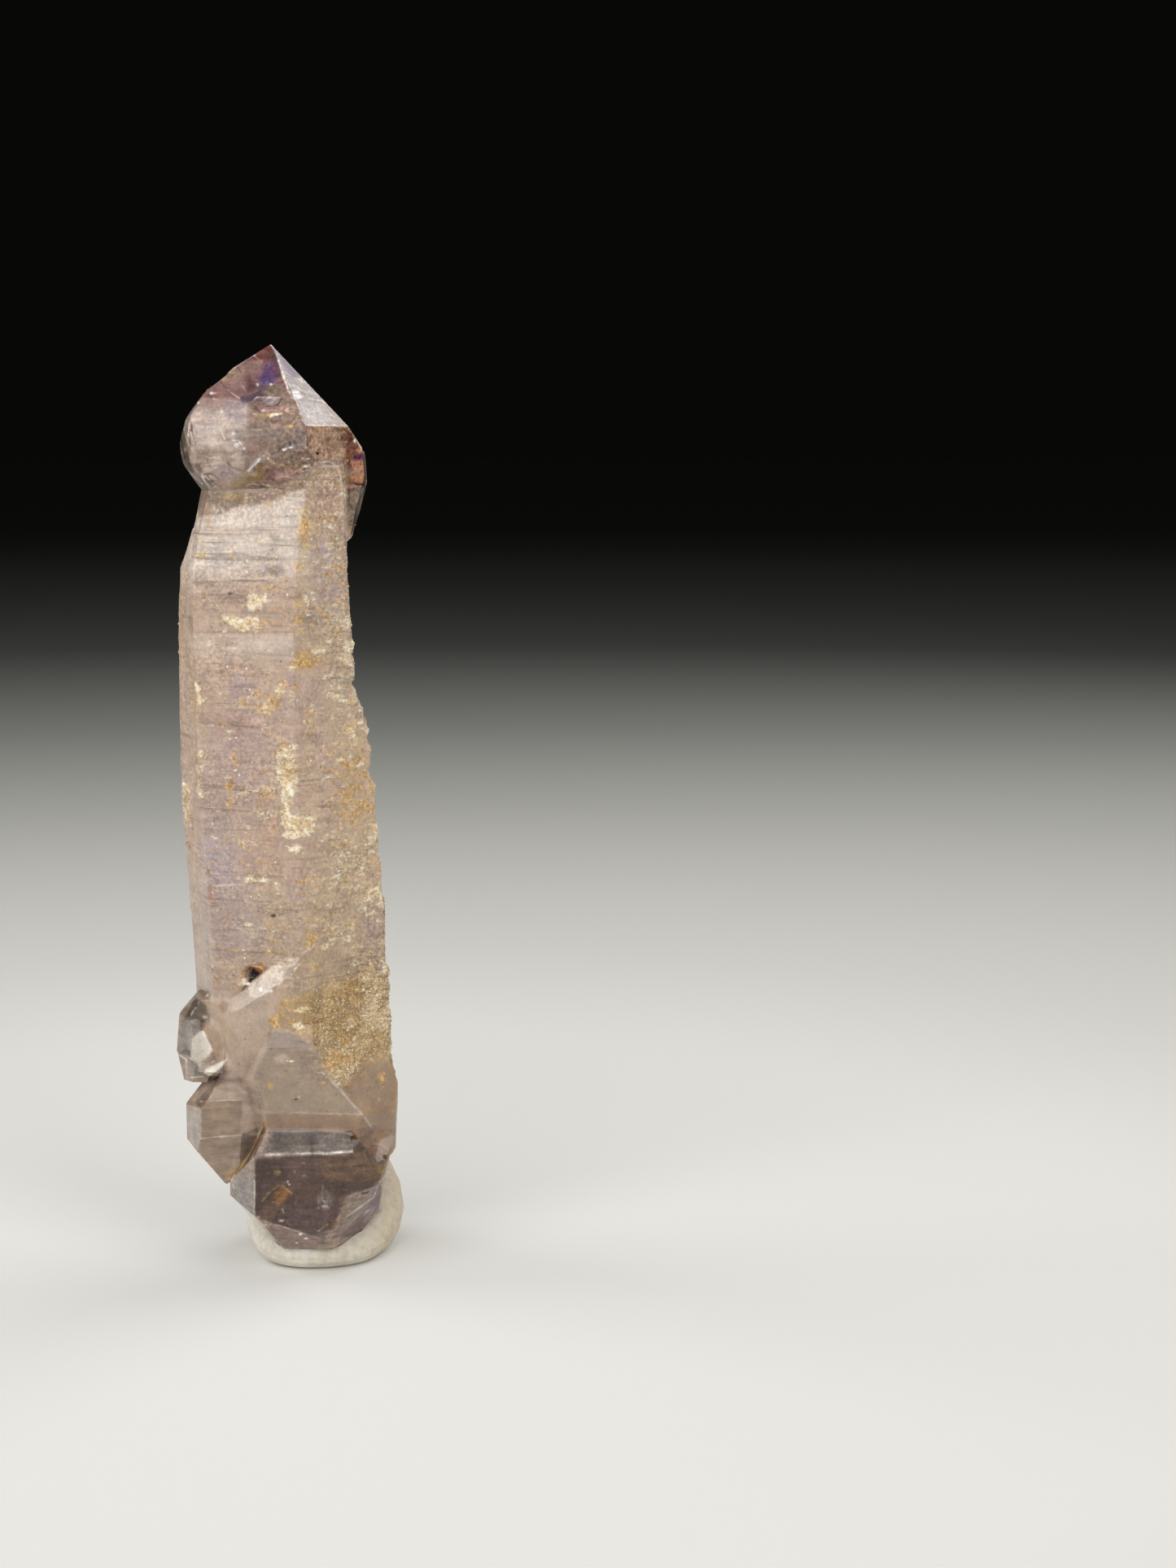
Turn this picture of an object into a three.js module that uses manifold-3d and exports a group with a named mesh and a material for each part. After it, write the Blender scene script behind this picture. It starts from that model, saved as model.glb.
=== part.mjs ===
// A sceptre amethyst on a lump of mounting putty. Millimetres, +Z up, the front looks to -Y.
// The origin is on the surface that the putty stands on, under the middle of the lump.
// The crystal is one grown piece: a long stem, a clear head, and a cluster of small crystals at its foot.
import * as THREE from "three";
import { ConvexGeometry } from "three/addons/geometries/ConvexGeometry.js";
import { mergeVertices } from "three/addons/utils/BufferGeometryUtils.js";
import Module from "manifold-3d";

const wasm = await Module();
wasm.setup();

// Driving dimensions
const TIP_HEIGHT = 118.6;
const PUTTY_RADIUS = 10.7;
const PUTTY_GAP = 0.3; // between the crystal and the putty pressed round it

// Quartz faces, as elevations of their normals
const PRISM = 0;
const RHOMB = 38;

// Solids from closed geometries, and back again

function solid(geometry) {
  const bare = new THREE.BufferGeometry();
  bare.setAttribute("position", geometry.getAttribute("position"));
  if (geometry.index) bare.setIndex(geometry.index);
  const merged = mergeVertices(bare, 1e-4);
  return new wasm.Manifold(
    new wasm.Mesh({
      numProp: 3,
      vertProperties: new Float32Array(merged.attributes.position.array),
      triVerts: new Uint32Array(merged.index.array),
    }),
  );
}

function geometryOf(manifold) {
  const mesh = manifold.getMesh();
  const geometry = new THREE.BufferGeometry();
  geometry.setAttribute("position", new THREE.BufferAttribute(mesh.vertProperties, 3));
  geometry.setIndex(new THREE.BufferAttribute(mesh.triVerts, 1));
  geometry.computeVertexNormals();
  return geometry;
}

const joined = (solids) => solids.reduce((whole, next) => whole.add(next));

// A direction: azimuth 0 is the front, 90 the right, 180 the back; elevation is above the horizon.
function towards(azimuth, elevation) {
  const a = THREE.MathUtils.degToRad(azimuth);
  const e = THREE.MathUtils.degToRad(elevation);
  return new THREE.Vector3(Math.cos(e) * Math.sin(a), -Math.cos(e) * Math.cos(a), Math.sin(e));
}

// A crystal from its flat faces. Each is [azimuth, elevation, x, y, z]: the way it looks and a point on it.
function crystal(faces, grow = 0) {
  const planes = faces.map(([azimuth, elevation, x, y, z]) => {
    const normal = towards(azimuth, elevation);
    return { normal, offset: normal.dot(new THREE.Vector3(x, y, z)) + grow };
  });
  const corners = [];
  const matrix = new THREE.Matrix3();
  for (let i = 0; i < planes.length; i++)
    for (let j = i + 1; j < planes.length; j++)
      for (let k = j + 1; k < planes.length; k++) {
        const [a, b, c] = [planes[i], planes[j], planes[k]];
        matrix.set(...a.normal, ...b.normal, ...c.normal);
        if (Math.abs(matrix.determinant()) < 1e-6) continue;
        const corner = new THREE.Vector3(a.offset, b.offset, c.offset);
        corner.applyMatrix3(matrix.invert());
        const inside = planes.every((p) => p.normal.dot(corner) < p.offset + 1e-5);
        if (inside && !corners.some((q) => q.distanceTo(corner) < 0.02)) corners.push(corner);
      }
  return solid(new ConvexGeometry(corners));
}

// The stem: six-sided sections from the neck down. Each row is height, then x of the left outline,
// of the two front edges and of the right outline, then y of the front edge on the right.
const STEM_LEVELS = [
  [108.0, -12.0, -9.6, 0.4, 3.6, -8.6],
  [104.4, -12.5, -10.6, 0.9, 4.5, -9.2],
  [100.6, -14.0, -11.9, 0.8, 5.1, -9.5],
  [96.4, -14.9, -12.9, 0.1, 5.2, -9.8],
  [95.2, -15.2, -13.0, -0.1, 5.3, -10.0],
  [90.4, -16.9, -14.1, -0.6, 5.3, -10.1],
  [84.2, -17.3, -14.2, -1.0, 5.6, -10.2],
  [80.1, -17.3, -14.1, -1.1, 5.9, -10.2],
  [75.6, -17.4, -14.0, -1.1, 6.0, -10.2],
  [72.0, -17.4, -14.0, -1.0, 7.0, -10.4],
  [64.4, -17.4, -13.9, -0.8, 7.9, -10.4],
  [59.2, -17.4, -13.7, -0.8, 8.4, -10.3],
  [53.9, -17.0, -13.3, -0.8, 8.8, -10.3],
  [48.6, -16.7, -13.0, -0.8, 9.0, -10.3],
  [40.0, -16.2, -12.8, -0.6, 9.3, -10.2],
  [33.2, -16.0, -12.6, -0.4, 9.8, -10.2],
  [27.0, -14.6, -11.6, -0.1, 10.0, -10.2],
  [21.6, -12.4, -9.8, 0.4, 10.5, -10.0],
  [13.0, -8.6, -6.6, 1.2, 9.6, -9.0],
];
const FRONT_TURN = Math.tan(THREE.MathUtils.degToRad(18)); // the front face is turned to the left
const RIGHT_TURN = Math.tan(THREE.MathUtils.degToRad(38)); // the right one is turned away
const LEFT_FACE_DEPTH = 7.5;

// The six corners of a section, anticlockwise from above, beginning at the front edge on the right.
function stemSection([z, left, frontLeft, frontRight, right, frontY]) {
  const edge = new THREE.Vector2(frontRight, frontY);
  const far = new THREE.Vector2(frontLeft, frontY + FRONT_TURN * (frontRight - frontLeft));
  const leftEdge = new THREE.Vector2(left, far.y + LEFT_FACE_DEPTH);
  const rightEdge = new THREE.Vector2(right, frontY + RIGHT_TURN * (right - frontRight));
  const middle = leftEdge.clone().add(rightEdge).divideScalar(2);
  const opposite = (p) => middle.clone().multiplyScalar(2).sub(p);
  const ring = [edge, rightEdge, opposite(far), opposite(edge), leftEdge, far];
  return ring.map((p) => new THREE.Vector3(p.x, p.y, z));
}

// A closed solid through rings of equal length, the first one on top.
function loft(rings) {
  const count = rings[0].length;
  const positions = rings.flat().flatMap((p) => [p.x, p.y, p.z]);
  const indices = [];
  for (let level = 0; level + 1 < rings.length; level++)
    for (let i = 0; i < count; i++) {
      const a = level * count + i;
      const b = level * count + ((i + 1) % count);
      indices.push(a, a + count, b, b, a + count, b + count);
    }
  const lowest = (rings.length - 1) * count;
  for (let i = 1; i + 1 < count; i++) {
    indices.push(0, i, i + 1);
    indices.push(lowest, lowest + i + 1, lowest + i);
  }
  const geometry = new THREE.BufferGeometry();
  geometry.setAttribute("position", new THREE.Float32BufferAttribute(positions, 3));
  geometry.setIndex(indices);
  return solid(geometry);
}

function stem(grow = 0) {
  const rings = STEM_LEVELS.map((level) => {
    const ring = stemSection(level);
    const middle = ring.reduce((sum, p) => sum.add(p), new THREE.Vector3()).divideScalar(6);
    const share = 1 + grow / ring[0].distanceTo(middle);
    return ring.map((p) => p.clone().sub(middle).multiplyScalar(share).add(middle));
  });
  return loft(rings);
}

// The clear head. Its main edges run from the tip to the shoulder and along the ridge to the left.
const TIP = [-4.4, -1.0, TIP_HEIGHT];
const SHOULDER = [1.0, -10.7, 108.35];
const HEAD_FACES = [
  [-14, RHOMB, ...TIP],
  [51, 45, ...TIP],
  [110, RHOMB, ...TIP],
  [168, 40, ...TIP],
  [-134, 40, ...TIP],
  [-74, 34, -13.6, -2.0, 111.7],
  [-74, 10, -16.3, 0.5, 107.6],
  [-74, -13, -16.4, 1.0, 105.0],
  [-74, -36, -15.2, 0.5, 102.6],
  [-42, 2, -14.4, -6.6, 106.0],
  [-42, -30, -14.0, -6.6, 103.0],
  [-14, PRISM, ...SHOULDER],
  [51, PRISM, ...SHOULDER],
  [95, 32, 5.6, -3.0, 108.3],
  [95, 4, 7.0, 0.0, 103.4],
  [115, PRISM, 6.6, 4.0, 103.0],
  [168, PRISM, -3.0, 9.6, 104.0],
  [-134, PRISM, -14.0, 5.0, 104.0],
  [-14, -48, -5.0, -9.6, 102.4],
  [51, -40, 3.2, -8.6, 103.6],
  [95, -30, 6.9, 0.0, 101.4],
  [168, -45, -3.0, 8.6, 100.4],
  [-134, -40, -13.0, 4.0, 100.6],
  [0, -90, 0.0, 0.0, 97.0],
];

// The skirt of the head that reaches down over the right of the stem
const SKIRT_FACES = [
  [92, 3, 7.1, 0.6, 103.0],
  [90, -15, 7.0, 0.6, 101.0],
  [90, -50, 5.6, 0.6, 94.8],
  [40, -4, 5.8, -3.4, 100.0],
  [42, -30, 5.2, -2.8, 96.6],
  [142, -4, 5.6, 4.4, 100.0],
  [140, -34, 5.0, 3.6, 96.4],
  [90, 55, 6.6, 0.0, 105.4],
  [35, 40, 5.6, -3.2, 103.6],
  [145, 42, 5.4, 4.0, 104.4],
  [-90, 0, 2.5, 0.0, 100.0],
  [0, 90, 0.0, 0.0, 107.0],
];

// The flat shield low on the front, which is the shoulder of the crystal under it
const SHIELD_FACES = [
  [-1, 0, -1.9, -12.2, 26.0],
  [-2, 34, -2.1, -11.7, 31.2],
  [-72, 28, -6.5, -11.5, 28.4],
  [-40, -13, -6.5, -11.5, 23.7],
  [0, -12, 0.0, -12.2, 21.9],
  [56, 27, 4.0, -12.2, 25.7],
  [92, -3, 10.6, -3.0, 20.0],
  [54, -22, 6.6, -12.2, 20.6],
  [70, -42, 9.0, -7.4, 14.6],
  [180, 0, 0.0, -3.0, 20.0],
  [0, -90, 0.0, 0.0, 12.6],
  [0, 90, 0.0, 0.0, 33.0],
];

// The dark crystal at the foot, which ends in a point that is sunk in the putty
const FOOT_FACES = [
  [0, PRISM, 0.0, -14.0, 12.0],
  [0, RHOMB, 0.0, -14.0, 16.9],
  [-80, 30, -6.6, -14.0, 16.8],
  [-56, 2, -8.4, -11.5, 11.7],
  [-116, PRISM, -10.7, -8.0, 12.0],
  [-62, -39, -7.0, -11.0, 7.4],
  [-116, -42, -10.2, -8.2, 9.2],
  [-2, -42, -2.2, -12.6, 5.7],
  [39, -21, 6.1, -12.0, 10.3],
  [58, -30, 7.3, -9.0, 8.8],
  [104, -10, 9.2, -6.5, 9.6],
  [112, -46, 8.2, -5.5, 6.6],
  [60, PRISM, 8.7, -14.0, 13.0],
  [60, RHOMB, 6.0, -14.0, 16.9],
  [88, -12, 9.8, -9.0, 15.0],
  [180, PRISM, 0.0, 4.6, 12.0],
  [180, -45, 0.0, 3.0, 6.0],
  [0, -90, 0.0, 0.0, 3.4],
  [0, 90, 0.0, 0.0, 22.0],
];

// The smoky crystal low on the left, with its point down
const SMOKY_FACES = [
  [-2, PRISM, -11.6, -11.1, 21.0],
  [-58, 2, -14.8, -9.6, 19.4],
  [-116, -3, -16.3, -7.2, 18.7],
  [-63, 40, -13.7, -8.9, 23.4],
  [-3, 45, -10.7, -11.1, 23.3],
  [-116, 30, -15.2, -6.0, 23.0],
  [34, PRISM, -8.6, -11.2, 21.0],
  [1, -25, -11.8, -9.8, 15.6],
  [-70, -37, -14.5, -10.2, 16.2],
  [-120, -42, -14.8, -7.0, 15.0],
  [38, -24, -8.7, -11.2, 18.7],
  [100, -55, -10.6, -7.6, 11.6],
  [180, -40, -12.0, -5.0, 13.0],
  [180, PRISM, -12.0, -2.0, 20.0],
  [90, PRISM, -4.6, -8.0, 20.0],
  [0, 90, -12.0, -8.0, 28.0],
];

// Three small clear crystals above it
const BACK_POINT_FACES = [
  [-60, 27, -15.2, -6.4, 33.7],
  [-84, 44, -15.8, -5.0, 34.4],
  [-56, 8, -15.9, -6.6, 30.4],
  [-100, 2, -17.8, -4.0, 29.4],
  [-8, 20, -14.2, -8.3, 32.4],
  [-76, -55, -17.2, -5.0, 27.6],
  [-140, -6, -17.0, -2.4, 30.0],
  [0, 90, -14.0, -5.0, 35.2],
  [90, 0, -11.0, -5.0, 31.0],
  [180, 0, -14.0, 1.0, 31.0],
  [0, -90, -14.0, -5.0, 26.8],
];
const FRONT_POINT_FACES = [
  [-20, 9, -13.5, -9.7, 30.1],
  [-34, 56, -13.6, -9.3, 31.7],
  [38, 26, -12.2, -10.1, 30.0],
  [17, -32, -12.1, -9.3, 27.1],
  [-42, -34, -14.6, -9.6, 27.6],
  [-72, 8, -15.1, -9.0, 30.2],
  [66, -34, -10.6, -9.6, 28.4],
  [0, -90, -13.4, -8.6, 25.8],
  [90, 0, -9.8, -7.0, 28.0],
  [180, 0, -13.0, -3.0, 28.0],
];
const LOW_POINT_FACES = [
  [-46, -12, -15.6, -8.6, 26.6],
  [-104, -8, -16.5, -6.0, 26.6],
  [8, -30, -14.2, -9.0, 26.0],
  [-30, -86, -15.4, -7.4, 24.9],
  [0, 90, -14.0, -5.0, 28.6],
  [90, -20, -12.6, -6.0, 27.0],
  [180, 0, -14.0, -3.0, 27.0],
];

// The ledge across the front of the stem, and the pit above its left end
const LEDGE_FACES = [
  [-13, 0, -5.0, -10.3, 35.0],
  [-43, 37, -5.0, -9.6, 38.0],
  [-50, 0, -11.6, -8.8, 32.0],
  [38, 0, -0.6, -10.2, 33.0],
  [-9, -19, -8.6, -10.1, 27.7],
  [0, -90, 0.0, 0.0, 24.0],
  [180, 0, 0.0, -4.0, 36.0],
];
const PIT_FACES = [
  [0, 0, -6.6, -13.0, 39.6],
  [-60, 24, -7.7, -8.5, 39.0],
  [50, 34, -6.0, -9.0, 39.4],
  [-20, 80, -6.8, -8.6, 39.9],
  [-43, -60, -7.2, -8.6, 38.1],
  [100, -20, -5.9, -9.0, 38.8],
  [170, -20, -6.9, -6.6, 39.0],
];

// Two long crystals grown flat against the back of the stem, each with a pointed top
const BACK_PLATE_FACES = [
[164, PRISM, -1.8, 7.7, 55.0],
  [164, 46, -1.8, 7.7, 77.0],
  [-142, PRISM, -7.2, 8.4, 55.0],
  [-142, 42, -7.2, 8.4, 73.0],
  [106, PRISM, 3.4, 5.4, 55.0],
  [106, 40, 3.4, 5.4, 70.0],
  [164, -30, -1.8, 7.7, 29.0],
  [-90, PRISM, -9.0, 0.0, 55.0],
  [0, PRISM, 0.0, 0.0, 55.0],
  [0, -90, 0.0, 0.0, 22.0],
];
const SMALL_BACK_FACES = [
  [116, 1, 8.0, 1.8, 36.0],
  [116, 44, 8.0, 1.8, 48.0],
  [90, PRISM, 9.0, 0.0, 36.0],
  [166, PRISM, 4.0, 6.8, 36.0],
  [166, 42, 4.0, 6.8, 44.0],
  [116, -32, 8.0, 1.8, 21.0],
  [-90, PRISM, 0.0, 0.0, 36.0],
  [0, PRISM, 0.0, -1.0, 36.0],
  [0, -90, 0.0, 0.0, 14.5],
];

// Seeded, so that each build is the same
let seed = 20480;
function random() {
  seed = (seed + 0x6d2b79f5) | 0;
  let t = Math.imul(seed ^ (seed >>> 15), 1 | seed);
  t = (t + Math.imul(t ^ (t >>> 7), 61 | t)) ^ t;
  return ((t ^ (t >>> 14)) >>> 0) / 4294967296;
}
const between = (low, high) => low + (high - low) * random();

// A point on the stem at a height, a share of the way along one of its six sides, and the way out there
function onStem(z, side, share) {
  const below = STEM_LEVELS.findIndex((level) => level[0] < z);
  const [upper, lower] = [STEM_LEVELS[below - 1], STEM_LEVELS[below]];
  const t = (upper[0] - z) / (upper[0] - lower[0]);
  const ring = stemSection(upper.map((value, i) => THREE.MathUtils.lerp(value, lower[i], t)));
  const [a, b] = [ring[side], ring[(side + 1) % 6]];
  const along = b.clone().sub(a).normalize();
  return { point: a.clone().lerp(b, share), out: new THREE.Vector3(along.y, -along.x, 0) };
}

// A grain of the crust: a stubby quartz crystal with a point at both ends, leaning outwards
const GRAIN_PROFILE = [
  [0, -0.9],
  [0.5, -0.3],
  [0.5, 0.25],
  [0, 0.9],
].map(([r, h]) => new THREE.Vector2(r, h));

function grain(point, out, size) {
  const geometry = new THREE.LatheGeometry(GRAIN_PROFILE, 6);
  const lean = new THREE.Vector3(between(-0.6, 0.6), between(-0.4, 0.4), between(-0.9, 0.9));
  const axis = out.clone().add(lean).normalize();
  const turn = new THREE.Quaternion().setFromUnitVectors(new THREE.Vector3(0, 1, 0), axis);
  const place = point.clone().addScaledVector(out, -0.3 * size);
  geometry.rotateY(between(0, Math.PI));
  geometry.applyMatrix4(
    new THREE.Matrix4().compose(place, turn, new THREE.Vector3(size, size, size)),
  );
  return solid(geometry);
}

// Where the crust grows: side of the stem, heights, shares of the side, grains and their sizes
const CRUST = [
  { side: 0, low: 69, high: 86, from: 0.8, to: 1.0, count: 14, small: 0.9, large: 1.9 },
  { side: 0, low: 26, high: 69, from: 0.92, to: 1.0, count: 22, small: 0.8, large: 1.5 },
  { side: 0, low: 24, high: 38, from: 0.35, to: 0.9, count: 24, small: 1.0, large: 1.9 },
  { side: 1, low: 22, high: 84, from: 0.0, to: 0.7, count: 34, small: 0.9, large: 2.1 },
  { side: 3, low: 26, high: 88, from: 0.1, to: 0.9, count: 16, small: 0.9, large: 1.9 },
  { side: 4, low: 54, high: 64, from: 0.0, to: 0.5, count: 6, small: 0.8, large: 1.4 },
];

function crust() {
  return CRUST.flatMap(({ side, low, high, from, to, count, small, large }) =>
    Array.from({ length: count }, () => {
      const { point, out } = onStem(between(low, high), side, between(from, to));
      return grain(point, out, between(small, large));
    }),
  );
}

// The stem's lower end slopes in above the putty.
function cutFoot(body) {
  const normal = towards(78, -52).negate();
  return body.trimByPlane([...normal], normal.dot(new THREE.Vector3(10.5, -3.0, 16.4)));
}

function amethyst() {
  const trunk = cutFoot(stem());
  const points = [
    HEAD_FACES,
    SKIRT_FACES,
    SHIELD_FACES,
    FOOT_FACES,
    SMOKY_FACES,
    BACK_POINT_FACES,
    FRONT_POINT_FACES,
    LOW_POINT_FACES,
    LEDGE_FACES,
    BACK_PLATE_FACES,
    SMALL_BACK_FACES,
  ].map((faces) => crystal(faces));
  return joined([trunk, ...points, ...crust()]).subtract(crystal(PIT_FACES));
}

// The putty: a flat-bottomed lump whose rim rises to the back on the right, where it holds the stem
const PUTTY_SIDES = 40;
const PUTTY_PROFILE = [
  [0.8, 0.0],
  [0.89, 0.08],
  [0.97, 0.24],
  [1.0, 0.42],
  [0.97, 0.64],
  [0.87, 0.84],
  [0.72, 0.96],
  [0.5, 1.0],
];
const PUTTY_MIDDLE = [0.3, 0.2];

function puttyLump() {
  const rings = PUTTY_PROFILE.map(([reach, rise]) =>
    Array.from({ length: PUTTY_SIDES }, (_, i) => {
      const angle = (2 * Math.PI * i) / PUTTY_SIDES;
      const [east, north] = [Math.cos(angle), Math.sin(angle)];
      const wobble = 1 + 0.03 * Math.sin(3 * angle + 0.6) + 0.02 * Math.sin(5 * angle);
      const backRight = Math.max(0, 0.75 * east + 0.66 * north);
      const height = 6.6 + 1.6 * north - 0.4 * east + 6.8 * backRight ** 2;
      const radius = PUTTY_RADIUS * wobble * reach;
      return new THREE.Vector3(
        PUTTY_MIDDLE[0] + radius * east,
        PUTTY_MIDDLE[1] + radius * north,
        height * rise,
      );
    }),
  );
  return loft(rings.reverse());
}

function putty() {
  const pressed = [
    cutFoot(stem(PUTTY_GAP * 1.3)),
    crystal(SHIELD_FACES, PUTTY_GAP),
    crystal(FOOT_FACES, PUTTY_GAP),
    crystal(SMOKY_FACES, PUTTY_GAP),
  ];
  return puttyLump().subtract(joined(pressed));
}

function part(name, manifold, material) {
  const mesh = new THREE.Mesh(geometryOf(manifold), new THREE.MeshStandardMaterial(material));
  mesh.name = name;
  return mesh;
}

const group = new THREE.Group();
group.add(
  part("amethyst_crystal", amethyst(), {
    color: 0xc6b3bd,
    roughness: 0.25,
    metalness: 0,
    transparent: true,
    opacity: 0.8,
  }),
  part("mounting_putty", putty(), { color: 0xe6e1d4, roughness: 0.8, metalness: 0 }),
);
export default group;
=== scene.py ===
"""A sceptre amethyst on a lump of mounting putty, dressed for rendering.

Places are in millimetres in the part's own frame: x to the right, y to the back, z up. The marks in the
tables are placed as seen from the front: where the line from the eye through them meets the plane of the
stem's front. The CAD crystal's faces are cut fine, roughened and coloured, and the putty is modelled anew.
"""
import math
from functools import partial

import bmesh
import bpy
import numpy as np
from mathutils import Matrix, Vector


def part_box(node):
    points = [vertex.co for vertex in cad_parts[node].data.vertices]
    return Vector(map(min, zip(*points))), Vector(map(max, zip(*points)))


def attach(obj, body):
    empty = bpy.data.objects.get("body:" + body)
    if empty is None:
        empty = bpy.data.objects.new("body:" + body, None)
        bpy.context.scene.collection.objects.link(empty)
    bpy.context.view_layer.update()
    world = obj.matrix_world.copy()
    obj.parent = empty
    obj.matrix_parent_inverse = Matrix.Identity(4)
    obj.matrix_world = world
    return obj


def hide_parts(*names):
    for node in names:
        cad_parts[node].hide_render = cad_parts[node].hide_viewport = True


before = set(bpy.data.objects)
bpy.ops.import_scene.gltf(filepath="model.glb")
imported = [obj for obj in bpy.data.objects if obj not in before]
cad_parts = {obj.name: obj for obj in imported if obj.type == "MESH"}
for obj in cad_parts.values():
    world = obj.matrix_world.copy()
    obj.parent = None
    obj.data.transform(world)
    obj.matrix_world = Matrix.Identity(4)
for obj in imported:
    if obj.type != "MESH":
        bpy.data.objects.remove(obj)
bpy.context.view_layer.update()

MM = 0.001
# Where the eye is, how many degrees it looks down, and the plane of the stem's front that the marks lie on
EYE = np.array([35.6, -303.5, 105.1])
EYE_PITCH = 8.0
FRONT_PLANE = -10.0
# Lengths of the edges that the faces are cut to: longest on the head, in front and behind, and the least
COARSE = 1.0
HEAD_EDGE, FRONT_EDGE, HIDDEN_EDGE = 0.7, 0.72, 2.2
FINEST = 0.2 * COARSE


def srgb(red, green, blue):
    """Linear colour of an 8-bit display colour."""
    values = np.array([red, green, blue]) / 255.0
    linear = np.where(values > 0.04, ((values + 0.055) / 1.055) ** 2.4, values / 12.92)
    return tuple(float(v) for v in linear)


COLORS = {
    "head_clear": srgb(196, 178, 167),
    "head_beige": srgb(152, 130, 114),
    "head_grey": srgb(150, 130, 112),
    "head_tan": srgb(166, 142, 124),
    "head_brown": srgb(190, 160, 136),
    "mauve": srgb(136, 94, 90),
    "pink_mauve": srgb(168, 130, 124),
    "mauve_dark": srgb(92, 50, 60),
    "tip_brown": srgb(110, 40, 18),
    "dark_brown": srgb(86, 56, 36),
    "brown": srgb(98, 64, 44),
    "violet": srgb(86, 40, 100),
    "indigo": srgb(70, 46, 128),
    "slate": srgb(62, 52, 74),
    "deep_blue": srgb(62, 60, 98),
    "lilac": srgb(124, 114, 154),
    "lilac_grey": srgb(168, 154, 162),
    "rosy": srgb(208, 182, 176),
    "rust": srgb(140, 88, 60),
    "grey_green": srgb(140, 126, 106),
    "green_tint": srgb(124, 128, 98),
    "gold": srgb(198, 160, 98),
    "yellow": srgb(206, 178, 116),
    "cream_line": srgb(222, 202, 162),
    "pale": srgb(206, 189, 173),
    "pale_line": srgb(214, 201, 190),
    "dim_line": srgb(190, 178, 168),
    "dim": srgb(130, 116, 100),
    "silver": srgb(202, 200, 202),
    "white": srgb(238, 230, 218),
    "glint": srgb(255, 252, 248),
    "dark": srgb(60, 44, 34),
    "dark_swirl": srgb(66, 58, 52),
    "bright_facet": srgb(150, 138, 134),
    "facet_white": srgb(184, 174, 170),
    "facet_mauve": srgb(160, 138, 128),
    "skirt_brown": srgb(132, 93, 75),
    "skirt_pink": srgb(202, 150, 126),
    "skirt_orange": srgb(206, 153, 118),
    "wedge_dark": srgb(84, 72, 62),
    "wedge_light": srgb(150, 134, 116),
    "neck_dark": srgb(124, 107, 93),
    "neck_grey": srgb(132, 117, 104),
    "white_zone": srgb(206, 194, 184),
    "front_white": srgb(216, 207, 200),
    "scratch": srgb(140, 124, 110),
    "smudge": srgb(142, 128, 114),
    "pink": srgb(174, 145, 132),
    "beige": srgb(184, 162, 136),
    "brown_gold": srgb(172, 144, 100),
    "red_orange": srgb(212, 132, 84),
    # Painted shade for holes and gaps
    "hole_dark": srgb(34, 20, 8),
    "ledge_white": srgb(216, 204, 192),
    "slab": srgb(184, 165, 147),
    "slab_low": srgb(168, 148, 130),
    "speck_zone": srgb(192, 178, 162),
    "shield": srgb(155, 137, 120),
    "shield_band": srgb(144, 127, 114),
    "pink_low": srgb(140, 114, 91),
    "smoke_dark": srgb(112, 98, 84),
    "clear_grey": srgb(168, 158, 148),
    "pale_brown": srgb(170, 150, 134),
    "little_bright": srgb(196, 188, 177),
    "little_white": srgb(228, 221, 207),
    "smoky": srgb(146, 126, 107),
    "smoky_low": srgb(158, 137, 120),
    "smoky_left": srgb(172, 160, 149),
    "smoky_top": srgb(172, 152, 135),
    "cool_grey": srgb(128, 120, 116),
    "seam_gold": srgb(172, 132, 72),
    "seam_dark": srgb(96, 62, 32),
    "bevel": srgb(130, 120, 112),
    "bevel_dark": srgb(102, 92, 87),
    "bevel_light": srgb(152, 142, 135),
    "foot_front": srgb(94, 72, 60),
    "foot_dark": srgb(70, 48, 42),
    "foot_mauve": srgb(104, 80, 80),
    "foot_band": srgb(132, 114, 98),
    "foot_warm": srgb(118, 92, 70),
    "gold_dim": srgb(150, 124, 80),
    "foot_gold": srgb(160, 110, 54),
    "feather": srgb(150, 140, 136),
    "foot_left": srgb(160, 152, 145),
    "low_front": srgb(160, 136, 126),
    "low_right": srgb(124, 97, 104),
    "diagonal": srgb(152, 136, 126),
    "reddish": srgb(150, 94, 74),
    "corner_dark": srgb(92, 70, 52),
    "corner_rust": srgb(140, 100, 70),
    "corner_pale": srgb(166, 148, 136),
    "stem": srgb(182, 159, 144),
    "stem_lilac": srgb(172, 151, 148),
    "stem_sand": srgb(186, 164, 138),
    "stem_low_right": srgb(174, 151, 124),
    "stem_low_left": srgb(172, 152, 136),
    "druse_dark": srgb(146, 124, 76),
    "druse_pale": srgb(206, 190, 154),
    "strip": srgb(166, 146, 132),
    "strip_low": srgb(176, 162, 153),
    "striation": srgb(118, 98, 86),
    "iron_dark": srgb(150, 102, 42),
    "iron": srgb(204, 158, 84),
    "iron_pale": srgb(242, 208, 140),
    "crust_dark": srgb(214, 172, 116),
    "crust": srgb(250, 226, 182),
    "crust_pale": srgb(255, 252, 234),
    "speck": srgb(92, 66, 50),
    "fleck": srgb(252, 244, 228),
    "grain_pale": srgb(252, 238, 208),
    "grain_iron": srgb(206, 160, 92),
    "putty": srgb(222, 216, 203),
    "putty_dark": srgb(202, 193, 176),
    "putty_right": srgb(194, 181, 158),
    "putty_speck": srgb(96, 80, 66),
}


def mark(kind, color, strength, size, *points):
    """One mark. size is the softness of its edge or a line's half width."""
    return kind, color, strength, size, points


area, line, spot = (partial(mark, kind) for kind in ("area", "line", "spot"))


# Marks seen from the front: colour or stain, strength, softness or a line's half width, then x and z of the
# points in turn. An area has its corners, a line its bends, and a spot its middle and its two half widths.

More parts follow.
